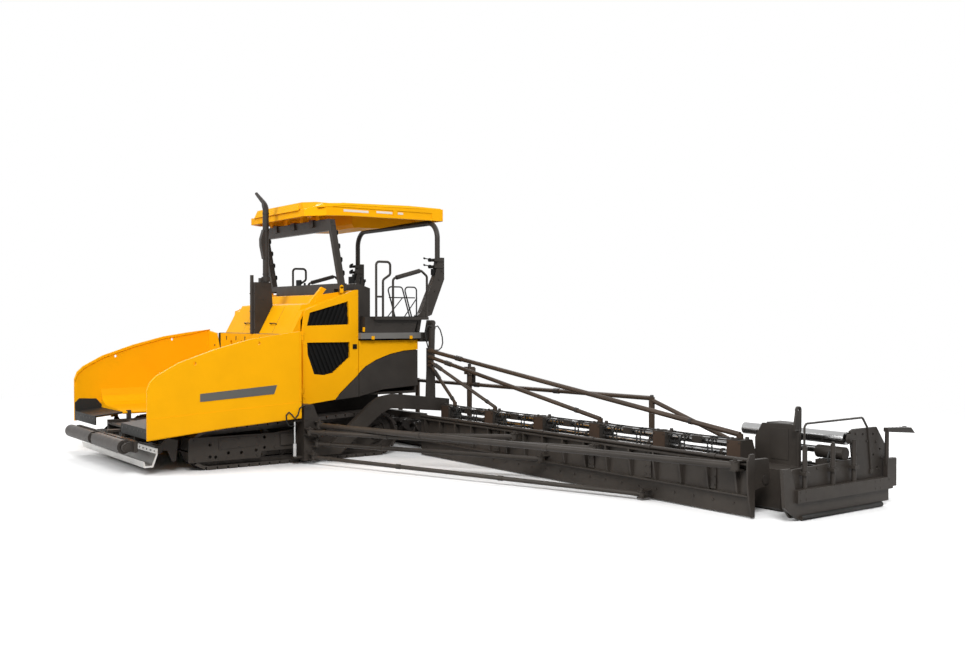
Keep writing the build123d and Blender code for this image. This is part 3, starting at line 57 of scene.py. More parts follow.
BRACES = (                  # start x, start z, end y, end z, radius
    (0.760, 0.610, 8.690, 0.600, 0.042),
    (0.930, 0.520, 6.300, 0.560, 0.035),
    (0.760, 0.470, 4.600, 0.560, 0.035),
    (0.800, 0.330, 5.200, 0.300, 0.033),
    (0.860, 0.125, 7.200, 0.075, 0.030),
)
BRACE_OUT = 0.130           # from a column or baffle to the middle of a brace's pin
BAFFLE_X = -1.150           # front face of a baffle
STAYS = (                   # start z, end y, radius
    (1.480, 1.960, 0.028),
    (1.540, 3.100, 0.028),
    (1.620, 5.590, 0.032),
    (1.725, 8.110, 0.034),
)
MAST_FACE = 1.6953          # outer face of the mast that carries the stays
BOX_PITCH = 1.257           # from one drive box to the next
BOX_YS = tuple(1.830 + BOX_PITCH * i for i in range(6))
BOX_HALF = 0.115
BOX_FRONT_X = -1.670
BOX_TOP = 0.800
JOINT_YS = tuple(y - BOX_PITCH / 2 for y in BOX_YS)
SCREED_REAR_X, SCREED_FRONT_X = -2.300, -1.740
PLATE_Y = 9.150             # outer face of the extension's end plate
GATE_Y = 9.255              # outer face of the end gate's beam
POST_FOOT_X = -0.050        # rear edge of a front canopy post at its foot
POST_FOOT_Z = 2.740
POST_LEAN = 0.210 / 1.160
SEAT = 0.0004               # trim stands this far off what it sits on
BOX_NEXT = BOX_PITCH - BOX_HALF - SEAT      # from a box's middle to the near face of the next one

# ---- bolt heads, radius and height, and the ways that they stand ----
FLAT_HEAD = (0.012, 0.006)
HEAD = (0.014, 0.010)
LARGE_HEAD = (0.016, 0.012)
AHEAD, BACK, OUT, UP = (1, 0, 0), (-1, 0, 0), (0, 1, 0), (0, 0, 1)

# ---- the photograph's point of view, and the floor that fades to white around the machine ----
CAMERA_AT = (8.342, 16.633, 2.28)
CAMERA_YAW = 233.87
CAMERA_DOWN = 0.936
CAMERA_LENS = 39.17
FLOOR_REACH = 300.0
FLOOR_FADE = (9.5, 16.0)


# ---- scene start ----
def clear():
    for obj in list(bpy.data.objects):
        bpy.data.objects.remove(obj)


# ---- materials ----
def node(tree, kind, **inputs):
    """A shader node with its inputs set by name."""
    made = tree.nodes.new(kind)
    for key, value in inputs.items():
        made.inputs[key.replace("_", " ")].default_value = value
    return made


def noise_at(tree, scale, detail=3.0, stretch=(1, 1, 1)):
    """Noise in the piece's own coordinates."""
    place = tree.nodes.new("ShaderNodeTexCoord")
    mapping = tree.nodes.new("ShaderNodeMapping")
    mapping.inputs["Scale"].default_value = stretch
    noise = node(tree, "ShaderNodeTexNoise", Scale=scale, Detail=detail)
    tree.links.new(place.outputs["Object"], mapping.inputs["Vector"])
    tree.links.new(mapping.outputs["Vector"], noise.inputs["Vector"])
    return noise.outputs["Fac"]


def ramp(tree, source, low, high, first, last):
    """A colour that goes from first to last as source goes from low to high."""
    made = tree.nodes.new("ShaderNodeValToRGB")
    made.color_ramp.elements[0].position = low
    made.color_ramp.elements[1].position = high
    made.color_ramp.elements[0].color = (*first, 1)
    made.color_ramp.elements[1].color = (*last, 1)
    tree.links.new(source, made.inputs["Fac"])
    return made.outputs["Color"]


def mix(tree, factor, first, second):
    made = tree.nodes.new("ShaderNodeMix")
    made.data_type = "RGBA"
    tree.links.new(factor, made.inputs[0])
    tree.links.new(first, made.inputs[6])
    tree.links.new(second, made.inputs[7])
    return made.outputs[2]


def shade(colour, factor):
    return tuple(min(1.0, channel * factor) for channel in colour)


def surface(name, colour, rough, metal=0.0, shine=0.4, spread=0.08, grain=0.1, grain_scale=300.0,
            dust=None, dust_share=0.0, patch=2.5, edge=0.0):
    """Paint, steel or rubber: patches of tone, fine grain in the bump, and dust that gathers low down."""
    material = bpy.data.materials.new(name)
    material.use_nodes = True
    tree = material.node_tree
    shader = tree.nodes["Principled BSDF"]
    shader.inputs["Metallic"].default_value = metal
    shader.inputs["Specular IOR Level"].default_value = shine
    tone = ramp(tree, noise_at(tree, patch), 0.3, 0.7, shade(colour, 1 - spread), shade(colour, 1 + spread))
    if dust:
        speck = noise_at(tree, 9.0, 6.0)
        place = tree.nodes.new("ShaderNodeTexCoord")
        parts = tree.nodes.new("ShaderNodeSeparateXYZ")
        tree.links.new(place.outputs["Object"], parts.inputs["Vector"])
        height = node(tree, "ShaderNodeMapRange")
        height.inputs["From Min"].default_value = 0.9
        height.inputs["From Max"].default_value = 0.0
        height.inputs["To Max"].default_value = dust_share
        tree.links.new(parts.outputs["Z"], height.inputs["Value"])
        amount = tree.nodes.new("ShaderNodeMath")
        amount.operation = "MULTIPLY"
        tree.links.new(height.outputs["Result"], amount.inputs[0])
        tree.links.new(speck, amount.inputs[1])
        plain = tree.nodes.new("ShaderNodeRGB")
        plain.outputs[0].default_value = (*dust, 1)
        tone = mix(tree, amount.outputs[0], tone, plain.outputs[0])
    tree.links.new(tone, shader.inputs["Base Color"])
    gloss = node(tree, "ShaderNodeMapRange")
    gloss.inputs["To Min"].default_value = max(0.03, rough - 0.08)
    gloss.inputs["To Max"].default_value = rough + 0.08
    tree.links.new(noise_at(tree, 14.0, 5.0), gloss.inputs["Value"])
    tree.links.new(gloss.outputs["Result"], shader.inputs["Roughness"])
    bump = node(tree, "ShaderNodeBump", Strength=grain, Distance=0.001)
    tree.links.new(noise_at(tree, grain_scale, 2.0), bump.inputs["Height"])
    if edge:
        rounded = node(tree, "ShaderNodeBevel", Radius=edge)
        tree.links.new(rounded.outputs["Normal"], bump.inputs["Normal"])
    tree.links.new(bump.outputs["Normal"], shader.inputs["Normal"])
    return material


DUST = (0.10, 0.080, 0.062)


LOOKS = {
    "yellow_paint": dict(colour=(0.88, 0.405, 0.002), rough=0.48, shine=0.07, spread=0.03, grain=0.012,
                         grain_scale=160.0, dust=(0.42, 0.20, 0.03), dust_share=0.25, edge=0.008),
    "dark_paint": dict(colour=(0.034, 0.029, 0.025), rough=0.42, shine=0.2, spread=0.2, grain=0.12,
                       grain_scale=220.0, dust=DUST, dust_share=0.3, edge=0.004),
    "black_rubber": dict(colour=(0.010, 0.010, 0.009), rough=0.6, shine=0.3, spread=0.2, grain=0.25),
    "walkway_grey": dict(colour=(0.145, 0.14, 0.13), rough=0.6, shine=0.25, spread=0.1, grain=0.5,
                         grain_scale=420.0),
    "track_steel": dict(colour=(0.034, 0.029, 0.026), rough=0.5, metal=0.35, spread=0.3, grain=0.3,
                        grain_scale=90.0, dust=DUST, dust_share=0.45, patch=6.0),
    "silver_steel": dict(colour=(0.50, 0.49, 0.47), rough=0.33, metal=1.0, spread=0.15, grain=0.1),
    "chrome": dict(colour=(0.42, 0.42, 0.42), rough=0.22, metal=1.0, spread=0.05, grain=0.02),
    "black_grille": dict(colour=(0.006, 0.006, 0.006), rough=0.5, shine=0.08, spread=0.2, grain=0.1),
    "brown_primer": dict(colour=(0.058, 0.038, 0.027), rough=0.5, shine=0.2, spread=0.2, grain=0.15),
    "pale_strip": dict(colour=(0.72, 0.66, 0.58), rough=0.4, spread=0.05),
    "stay_brown": dict(colour=(0.050, 0.033, 0.022), rough=0.4, shine=0.25, spread=0.3, grain=0.12,
                       patch=1.2),
    "stripe_grey": dict(colour=(0.10, 0.097, 0.088), rough=0.4, shine=0.3, spread=0.04),
}


def make_materials():
    return {name: surface(name, **look) for name, look in LOOKS.items()}


# ---- mesh makers ----
def mesh_object(name, points, faces, material, body):
    mesh = bpy.data.meshes.new(name)
    mesh.from_pydata([tuple(p) for p in points], [], faces)
    mesh.validate()
    mesh.materials.append(material)
    made = bpy.data.objects.new(name, mesh)
    bpy.context.scene.collection.objects.link(made)
    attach(made, body)
    return made


class Build:
    """Gathers many small solids of one slot on one body into one mesh."""

    def __init__(self, name, body, slot, side=1):
        self.name = name
        self.body = body
        self.slot = slot
        self.side = side
        self.points = []
        self.faces = []

    def add(self, points, faces):
        """Keeps the points, mirrored across the middle plane where the side is -1."""
        start = len(self.points)
        self.points += [Vector((x, y * self.side, z)) for x, y, z in points]
        turned = [tuple(start + i for i in face) for face in faces]
        self.faces += turned if self.side > 0 else [tuple(reversed(face)) for face in turned]

    def box(self, low, high):
        (x0, y0, z0), (x1, y1, z1) = low, high
        corners = [(x0, y0, z0), (x1, y0, z0), (x1, y1, z0), (x0, y1, z0),
                   (x0, y0, z1), (x1, y0, z1), (x1, y1, z1), (x0, y1, z1)]
        self.add(corners, [(0, 3, 2, 1), (4, 5, 6, 7), (0, 1, 5, 4),
                           (1, 2, 6, 5), (2, 3, 7, 6), (3, 0, 4, 7)])

    def prism(self, at, axis, radius, height, sides=6, top=1.0):
        """A bolt head or boss that stands on a point along an axis; top below 1 tapers it."""
        axis = Vector(axis).normalized()
        side = axis.orthogonal().normalized()
        across = axis.cross(side)
        base, tip = Vector(at), Vector(at) + axis * height
        ring = [(math.cos(2 * math.pi * i / sides), math.sin(2 * math.pi * i / sides)) for i in range(sides)]
        low = [base + radius * (c * side + s * across) for c, s in ring]
        high = [tip + radius * top * (c * side + s * across) for c, s in ring]
        sleeves = [(i, (i + 1) % sides, sides + (i + 1) % sides, sides + i) for i in range(sides)]
        self.add(low + high, [tuple(reversed(range(sides))), tuple(range(sides, 2 * sides))] + sleeves)

    def wall_heads(self, y, spots, radius, height, sides=6):
        """Bolt heads at x, z spots on a wall that faces outwards at y."""
        for x, z in spots:
            self.prism((x, y, z), OUT, radius, height, sides)

    def tube(self, points, radius, sides=10):
        """A round tube through points, closed at both ends."""
        points = [Vector(p) for p in points]
        count = len(points)
        ways = [(points[min(i + 1, count - 1)] - points[max(i - 1, 0)]).normalized() for i in range(count)]
        side = ways[0].orthogonal().normalized()
        rings = []
        for point, way in zip(points, ways):
            side = (side - way * side.dot(way)).normalized()
            across = way.cross(side)
            rings += [point + radius * (math.cos(2 * math.pi * i / sides) * side
                                        + math.sin(2 * math.pi * i / sides) * across) for i in range(sides)]
        faces = [tuple(reversed(range(sides))), tuple(range((count - 1) * sides, count * sides))]
        for ring in range(count - 1):
            for i in range(sides):
                a, b = ring * sides + i, ring * sides + (i + 1) % sides
                faces.append((a, b, b + sides, a + sides))
        self.add(rings, faces)

    def plate(self, outline, axis, low, high):
        """An outline in the two other axes, thick along one axis between low and high."""
        order = {
            "x": lambda a, b, c: (c, a, b),
            "y": lambda a, b, c: (a, c, b),
            "z": lambda a, b, c: (a, b, c),
        }[axis]
        count = len(outline)
        points = [order(a, b, low) for a, b in outline] + [order(a, b, high) for a, b in outline]
        walls = [(i, (i + 1) % count, count + (i + 1) % count, count + i) for i in range(count)]
        self.add(points, [tuple(reversed(range(count))), tuple(range(count, 2 * count))] + walls)

    def collar(self, start, end, share, length, radius, sides=16):
        """A sleeve around the line from start to end, centred at a share of its length."""
        start, end = Vector(start), Vector(end)
        way = (end - start).normalized()
        self.prism(start.lerp(end, share) - way * length / 2, way, radius, length, sides)

    def ridge(self, top, foot, halves, slope, centre=0.0):
        """A raised band along X, from its top and foot lines, its half width at each x and its slope."""
        count = len(top)
        points = []
        for (x, z), (_, low), (_, half) in zip(top, foot, halves):
            points += [(x, centre - half - slope, low), (x, centre - half, z), (x, centre + half, z),
                       (x, centre + half + slope, low)]
        faces = [(3, 2, 1, 0), tuple(4 * (count - 1) + i for i in range(4))]
        for i in range(count - 1):
            for j in range(4):
                n = (j + 1) % 4
                faces.append((4 * i + j, 4 * i + n, 4 * i + 4 + n, 4 * i + 4 + j))
        self.add(points, faces)

    def finish(self, materials, finish=None, smooth=False):
        """The gathered mesh; finish names a material other than the slot's own."""
        material = materials[finish or self.slot]
        made = mesh_object(self.name, self.points, self.faces, material, self.body)
        if smooth:
            made.data.polygons.foreach_set("use_smooth", [len(f.vertices) == 4 for f in made.data.polygons])
        return made


# ---- stage ----
def looked_at(tree):
    """1 where the camera sees a surface itself, in a reflection or through glass, and 0 for its light."""
    path = tree.nodes.new("ShaderNodeLightPath")
    total = path.outputs["Is Camera Ray"]
    for kind in ("Is Glossy Ray", "Is Transmission Ray"):
        larger = tree.nodes.new("ShaderNodeMath")
        larger.operation = "MAXIMUM"
        tree.links.new(total, larger.inputs[0])
        tree.links.new(path.outputs[kind], larger.inputs[1])
        total = larger.outputs[0]
    return total


def make_stage():
    """Pale floor, soft lamps and a white world."""
    floor_mesh = bpy.data.meshes.new("floor")
    reach = FLOOR_REACH
    corners = [(-reach, -reach, 0), (reach, -reach, 0), (reach, reach, 0), (-reach, reach, 0)]
    floor_mesh.from_pydata(corners, [], [(0, 1, 2, 3)])
    floor = bpy.data.objects.new("floor", floor_mesh)
    floor.location.z = -0.002
    bpy.context.scene.collection.objects.link(floor)
    floor_mesh.materials.append(floor_material())
    lamps = [                   # name, place, target, size, power
        ("key", (9, 19, 15), (0, 2, 1), 7, 4100),
        ("side", (17, 0, 11), (1, 0, 1.5), 8, 1700),
        ("back", (-14, 6, 12), (-1, 4, 1), 10, 1500),
        ("far", (-4, -17, 14), (-1, -4, 1), 12, 2000),
    ]
    for name, place, target, size, power in lamps:
        data = bpy.data.lights.new(name, "AREA")
        data.size = size
        data.energy = power
        lamp = bpy.data.objects.new(name, data)
        lamp.location = place
        lamp.rotation_euler = (Vector(target) - Vector(place)).to_track_quat("-Z", "Y").to_euler()
        bpy.context.scene.collection.objects.link(lamp)
    world = bpy.data.worlds.new("studio")
    bpy.context.scene.world = world
    world.use_nodes = True
    tree = world.node_tree
    tree.nodes.clear()
    out = tree.nodes.new("ShaderNodeOutputWorld")
    lit = node(tree, "ShaderNodeBackground", Strength=0.36)
    lit.inputs["Color"].default_value = (1, 1, 1, 1)
    seen = node(tree, "ShaderNodeBackground", Strength=1.0)
    seen.inputs["Color"].default_value = (1, 1, 1, 1)
    choose = tree.nodes.new("ShaderNodeMixShader")
    tree.links.new(looked_at(tree), choose.inputs["Fac"])
    tree.links.new(lit.outputs[0], choose.inputs[1])
    tree.links.new(seen.outputs[0], choose.inputs[2])
    tree.links.new(choose.outputs[0], out.inputs["Surface"])
    bpy.context.scene.view_settings.view_transform = "Standard"


def floor_material():
    """The camera sees a pale floor that fades to plain white; the object is lit by a greyer one."""
    material = bpy.data.materials.new("floor")
    material.use_nodes = True
    tree = material.node_tree
    shader = tree.nodes["Principled BSDF"]
    shader.inputs["Roughness"].default_value = 0.9
    shader.inputs["Specular IOR Level"].default_value = 0.1
    seen = looked_at(tree)
    grey = tree.nodes.new("ShaderNodeRGB")
    grey.outputs[0].default_value = (0.40, 0.40, 0.40, 1)
    pale = tree.nodes.new("ShaderNodeRGB")
    pale.outputs[0].default_value = (0.97, 0.97, 0.97, 1)
    tree.links.new(mix(tree, seen, grey.outputs[0], pale.outputs[0]), shader.inputs["Base Color"])
    place = tree.nodes.new("ShaderNodeNewGeometry")
    distance = tree.nodes.new("ShaderNodeVectorMath")
    distance.operation = "LENGTH"
    tree.links.new(place.outputs["Position"], distance.inputs[0])
    fade = node(tree, "ShaderNodeMapRange")
    fade.inputs["From Min"].default_value = FLOOR_FADE[0]
    fade.inputs["From Max"].default_value = FLOOR_FADE[1]
    fade.interpolation_type = "SMOOTHSTEP"
    tree.links.new(distance.outputs["Value"], fade.inputs["Value"])
    share = tree.nodes.new("ShaderNodeMath")
    share.operation = "MULTIPLY"
    tree.links.new(fade.outputs["Result"], share.inputs[0])
    tree.links.new(seen, share.inputs[1])
    white = node(tree, "ShaderNodeEmission", Strength=1.0)
    blend = tree.nodes.new("ShaderNodeMixShader")
    tree.links.new(share.outputs[0], blend.inputs["Fac"])
    tree.links.new(shader.outputs[0], blend.inputs[1])
    tree.links.new(white.outputs[0], blend.inputs[2])
    tree.links.new(blend.outputs[0], tree.nodes["Material Output"].inputs["Surface"])
    return material


def make_camera():
    data = bpy.data.cameras.new("camera")
    data.lens = CAMERA_LENS
    data.clip_end = 500
    camera = bpy.data.objects.new("camera", data)
    yaw, down = math.radians(CAMERA_YAW), math.radians(CAMERA_DOWN)
    way = Vector((math.cos(yaw) * math.cos(down), math.sin(yaw) * math.cos(down), -math.sin(down)))
    camera.location = CAMERA_AT
    camera.rotation_euler = way.to_track_quat("-Z", "Y").to_euler()
    bpy.context.scene.collection.objects.link(camera)
    bpy.context.scene.camera = camera


NODE_FINISH = {"screed_stays": "stay_brown"}     # nodes whose finish isn't their slot's plain one


def dress_nodes(frame, materials):
    """Every CAD node gets its slot's material, or the finish that NODE_FINISH names for it."""
    for part in frame["record"]["subparts"]:
        obj = frame["nodes"][part["node"]]
        obj.data.materials.clear()
        obj.data.materials.append(materials[NODE_FINISH.get(part["node"], part["material_slot"])])


# ---- trim ----
SIDES = (("left", 1), ("right", -1))


def arc(centre, radius, start, end, count, plane="xz"):
    """Points of an arc, angles in degrees."""
    points = []
    for i in range(count + 1):
        angle = math.radians(start + (end - start) * i / count)
        a, b = radius * math.cos(angle), radius * math.sin(angle)
        x, y, z = centre
        points.append((x + a, y, z + b) if plane == "xz" else (x, y + a, z + b))
    return points


def trim_wings(materials):
    for side, k in SIDES:
        body = f"wing_{side}"
        band = Build(f"wing_band_{side}", body, "walkway_grey", k)
        band.plate([(2.662, 1.179), (1.448, 1.265), (1.498, 1.130), (2.663, 1.063)], "y",
                   WING_OUT_Y + 0.0054, WING_OUT_Y + 0.007)
        band.finish(materials, "stripe_grey")
        skin = Build(f"wing_skin_{side}", body, "yellow_paint", k)
        skin.plate([(3.431, 0.552), (3.431, 0.846), (1.040, 0.985), (1.040, 0.742), (2.295, 0.660)], "y",
                   WING_OUT_Y + SEAT, WING_OUT_Y + 0.005)
        skin.box((1.040, WING_OUT_Y + SEAT, 0.99), (1.062, WING_OUT_Y + 0.006, 2.066))
        skin.finish(materials)
        bolts = Build(f"wing_bolts_{side}", body, "dark_paint", k)
        for i in range(6):
            bolts.prism((1.075, 1.50 + 0.001 * i, 0.95 + 0.17 * i), AHEAD, *HEAD)
        for i in range(7):
            bolts.prism((3.432, 0.78 + 0.17 * i, 0.66), AHEAD, 0.015, 0.004)
        bolts.finish(materials)


def trim_tracks(materials):
    for side, k in SIDES:
        caps = Build(f"track_caps_{side}", "chassis", "track_steel", k)
        for x in ROLLER_XS:
            caps.prism((x, FRAME_OUT_Y + SEAT, 0.200), OUT, 0.052, 0.022, 20)
            for i in range(4):
                angle = math.radians(45 + 90 * i)
                at = (x + 0.036 * math.cos(angle), FRAME_OUT_Y + 0.022, 0.200 + 0.036 * math.sin(angle))
                caps.prism(at, OUT, 0.008, 0.008)
        for x, z, radius in ((2.375, 0.313, 0.085), (-0.560, 0.373, 0.120)):
            caps.prism((x, FRAME_OUT_Y + SEAT, z), OUT, radius, 0.045, 28, 0.9)
            for i in range(8):
                angle = math.radians(45 * i)
                circle = 0.7 * radius
                at = (x + circle * math.cos(angle), FRAME_OUT_Y + 0.045, z + circle * math.sin(angle))
                caps.prism(at, OUT, 0.011, 0.012)
        caps.finish(materials)
        guard = Build(f"guard_bolts_{side}", "chassis", "dark_paint", k)
        guard.wall_heads(GUARD_OUT_Y + SEAT, ((2.62, 0.46), (2.62, 0.17), (1.62, 0.17), (1.04, 0.49),
                                              (1.04, 0.29), (1.32, 0.46), (1.32, 0.27)), *LARGE_HEAD)
        guard.wall_heads(GUARD_OUT_Y + 0.0124, ((1.63, 0.44), (2.20, 0.44), (2.20, 0.33), (1.63, 0.35),
                                                (1.92, 0.44), (1.92, 0.34)), 0.013, 0.010)
        guard.finish(materials)


def trim_tow_columns(materials):
    for side, k in SIDES:
        bolts = Build(f"column_bolts_{side}", "chassis", "dark_paint", k)
        bolts.wall_heads(CHEEK_OUT_Y + SEAT, ((0.92, 0.88), (0.92, 0.70), (0.92, 0.40), (0.92, 0.22),
                                              (0.74, 0.64), (0.74, 0.24), (0.86, 0.88)), *LARGE_HEAD)
        bolts.prism((0.795, CHEEK_OUT_Y + 0.0154, 0.18), OUT, 0.052, 0.014, 24)
        for x, z, end_y, end_z, radius in BRACES:
            start = (x, CHEEK_OUT_Y + BRACE_OUT, z)
            end = (BAFFLE_X + BRACE_OUT, end_y, end_z)
            half = radius + 0.0183
            for px, py, pz in (start, end):
                bolts.prism((px, py, pz + half + SEAT), UP, 0.026, 0.018, 12)
                bolts.prism((px, py, pz + half + 0.018), UP, *LARGE_HEAD)
            for share in (0.06, 0.30, 0.62):
                bolts.collar(start, end, share, 0.075, radius + 0.007)
        bolts.finish(materials)
        hose = Build(f"column_hose_{side}", "chassis", "black_rubber", k)
        hose.tube([(0.940, 1.800, 0.915), (1.010, 1.870, 0.925), (1.080, 1.902, 0.890), (1.105, 1.902, 0.800),
                   (1.159, 1.902, 0.735), (1.209, 1.902, 0.796), (1.260, 1.902, 0.842), (1.305, 1.902, 0.800),
                   (1.300, 1.902, 0.700), (1.240, 1.850, 0.630), (1.088, 1.712, 0.600)], 0.011)
        hose.finish(materials, smooth=True)


def trim_doors(materials):
    for side, k in SIDES:
        body = f"engine_door_{side}"
        latch = Build(f"door_latch_{side}", body, "black_grille", k)
        latch.box((-0.205, BODY_Y + SEAT, 1.775), (-0.130, BODY_Y + 0.010, 1.855))
        latch.box((-0.190, BODY_Y + 0.010, 1.800), (-0.145, BODY_Y + 0.017, 1.830))
        latch.finish(materials)
        bolts = Build(f"door_bolts_{side}", body, "yellow_paint", k)
        bolts.wall_heads(BODY_Y + SEAT, ((0.735, 1.00), (0.735, 1.85), (0.735, 2.04), (0.640, 2.44),
                                         (-0.180, 2.67), (-0.205, 1.98), (-0.205, 1.45), (0.160, 1.06)),
                         *FLAT_HEAD, 12)
        bolts.finish(materials)


def trim_body(materials):
    strip = Build("hood_foot_strip", "chassis", "walkway_grey")
    for low, high in ((-1.44, -0.13), (0.13, 1.44)):
        strip.box((0.953, low, 2.0204), (1.017, high, 2.026))
    strip.finish(materials)
    hooks = Build("rear_wall_hooks", "chassis", "dark_paint")
    for y in (-1.10, -0.68, -0.30, 0.30, 0.68, 1.10):
        hooks.box((1.0204, y - 0.006, 1.900), (1.029, y + 0.006, 1.965))
        hooks.box((1.0204, y - 0.016, 1.955), (1.026, y + 0.016, 1.968))
    hooks.finish(materials)
    seals = Build("rear_wall_seals", "chassis", "black_rubber")
    for k in (1, -1):
        inner, outer = sorted((1.375 * k, 1.455 * k))
        seals.box((1.0204, inner, 1.640), (1.028, outer, 2.018))
    seals.finish(materials)
    tail = Build("tail_lids", "chassis", "dark_paint")
    for low, high in ((-1.200, -0.640), (-0.580, -0.020), (0.020, 0.580), (0.640, 1.200)):
        tail.box((TAIL_X - 0.010, low, 1.180), (TAIL_X - SEAT, high, 1.840))
        tail.box((TAIL_X - 0.016, low + 0.04, 1.220), (TAIL_X - 0.010, high - 0.04, 1.800))
        for y in (low + 0.02, high - 0.02):
            for z in (1.20, 1.51, 1.82):
                tail.prism((TAIL_X - 0.010, y, z), BACK, 0.008, 0.006)
    tail.finish(materials)
    vents = Build("tail_vents", "chassis", "black_grille")
    for low, high in ((-0.500, -0.100), (0.100, 0.500)):
        for i in range(9):
            z = 1.300 + 0.048 * i
            vents.box((TAIL_X - 0.021, low, z), (TAIL_X - 0.0164, high, z + 0.026))
    for y in (-0.68, 0.68):
        vents.box((TAIL_X - 0.024, y - 0.012, 1.46), (TAIL_X - 0.0164, y + 0.012, 1.56))
    vents.finish(materials)
    seams = Build("hood_seams", "chassis", "dark_paint")
    for y in (-0.6, 0.6):
        seams.add([(0.9375, y - 0.003, 2.0355), (0.9375, y + 0.003, 2.0355), (0.6935, y + 0.003, 2.4945),
                   (0.6935, y - 0.003, 2.4945), (0.9360, y - 0.003, 2.0345), (0.9360, y + 0.003, 2.0345),
                   (0.6920, y + 0.003, 2.4935), (0.6920, y - 0.003, 2.4935)],
                  [(0, 1, 2, 3), (7, 6, 5, 4), (0, 4, 5, 1), (1, 5, 6, 2), (2, 6, 7, 3), (3, 7, 4, 0)])
    seams.finish(materials)
    for side, k in SIDES:
        lug = Build(f"hood_lug_{side}", "chassis", "yellow_paint", k)
        lug.box((0.01, 1.331, 2.700), (0.07, 1.345, 2.800))
        lug.prism((0.04, 1.331, 2.80), OUT, 0.030, 0.014, 20)
        lug.finish(materials)
        handle = Build(f"hood_handle_{side}", "chassis", "black_rubber", k)
        handle.tube([(0.862, 0.42, 2.182), (0.895, 0.42, 2.199), (0.895, 0.62, 2.199), (0.862, 0.62, 2.182)],
                    0.008, 8)
        handle.finish(materials, smooth=True)
        panel = Build(f"panel_bolts_{side}", "chassis", "yellow_paint", k)
        panel.wall_heads(BODY_Y + SEAT, ((-0.30, 1.87), (-0.30, 1.50), (-0.85, 1.87), (-1.35, 1.87),
                                         (-1.35, 1.79)), *FLAT_HEAD, 12)
        panel.finish(materials)
        skirt = Build(f"skirt_bolts_{side}", "chassis", "dark_paint", k)
        skirt.wall_heads(BODY_Y - 0.0056, ((-0.33, 1.36), (-0.33, 1.05), (-0.80, 1.58), (-0.80, 1.14),
                                           (-1.34, 1.68), (-1.34, 1.18)), *FLAT_HEAD, 12)
        skirt.finish(materials)
        tabs = Build(f"walkway_tabs_{side}", "chassis", "yellow_paint", k)
        for x in (-0.457, -1.200):
            tabs.box((x - 0.028, 1.5004, 1.930), (x + 0.028, 1.508, 1.985))
        tabs.box((-0.300, 1.5004, 2.060), (-0.262, 1.508, 2.135))
        tabs.finish(materials)


def trim_deck(materials):
    grip = Build("walkway_grip", "chassis", "walkway_grey")
    for i in range(38):
        x = -1.37 + 0.029 * i
        grip.box((x, -0.84, 2.0404), (x + 0.008, 0.84, 2.0444))
    grip.finish(materials)
    for side, k in SIDES:
        lid = Build(f"deck_lid_{side}", "chassis", "dark_paint", k)
        lid.box((-1.335, 1.165, 2.3004), (-0.82, 1.440, 2.312))
        lid.box((-0.80, 1.165, 2.3004), (-0.320, 1.440, 2.312))
        lid.box((-0.62, 1.5004, 2.17), (-0.50, 1.509, 2.20))
        lid.box((-1.16, 1.5004, 2.17), (-1.04, 1.509, 2.20))
        lid.finish(materials)
        panel = Build(f"console_{side}", "chassis", "black_grille", k)
        slope = math.atan2(0.08, 0.25)
        for i in range(3):
            x, z = -0.385 - 0.075 * i, 2.8622 - 0.075 * i * math.tan(slope)
            for j in range(4):
                panel.prism((x, 0.90 + 0.06 * j, z), (-math.sin(slope), 0, math.cos(slope)), 0.012, 0.012, 12)
        panel.box((-0.345, 0.905, 2.868), (-0.325, 1.085, 2.985))
        panel.tube([(-0.43, 1.12, 2.845), (-0.44, 1.12, 2.94)], 0.010)
        panel.prism((-0.44, 1.12, 2.935), UP, 0.022, 0.045, 16, 0.8)
        panel.tube([(-0.50, 1.12, 2.82), (-0.52, 1.12, 2.90)], 0.010)
        panel.prism((-0.52, 1.12, 2.895), UP, 0.022, 0.045, 16, 0.8)
        panel.finish(materials)


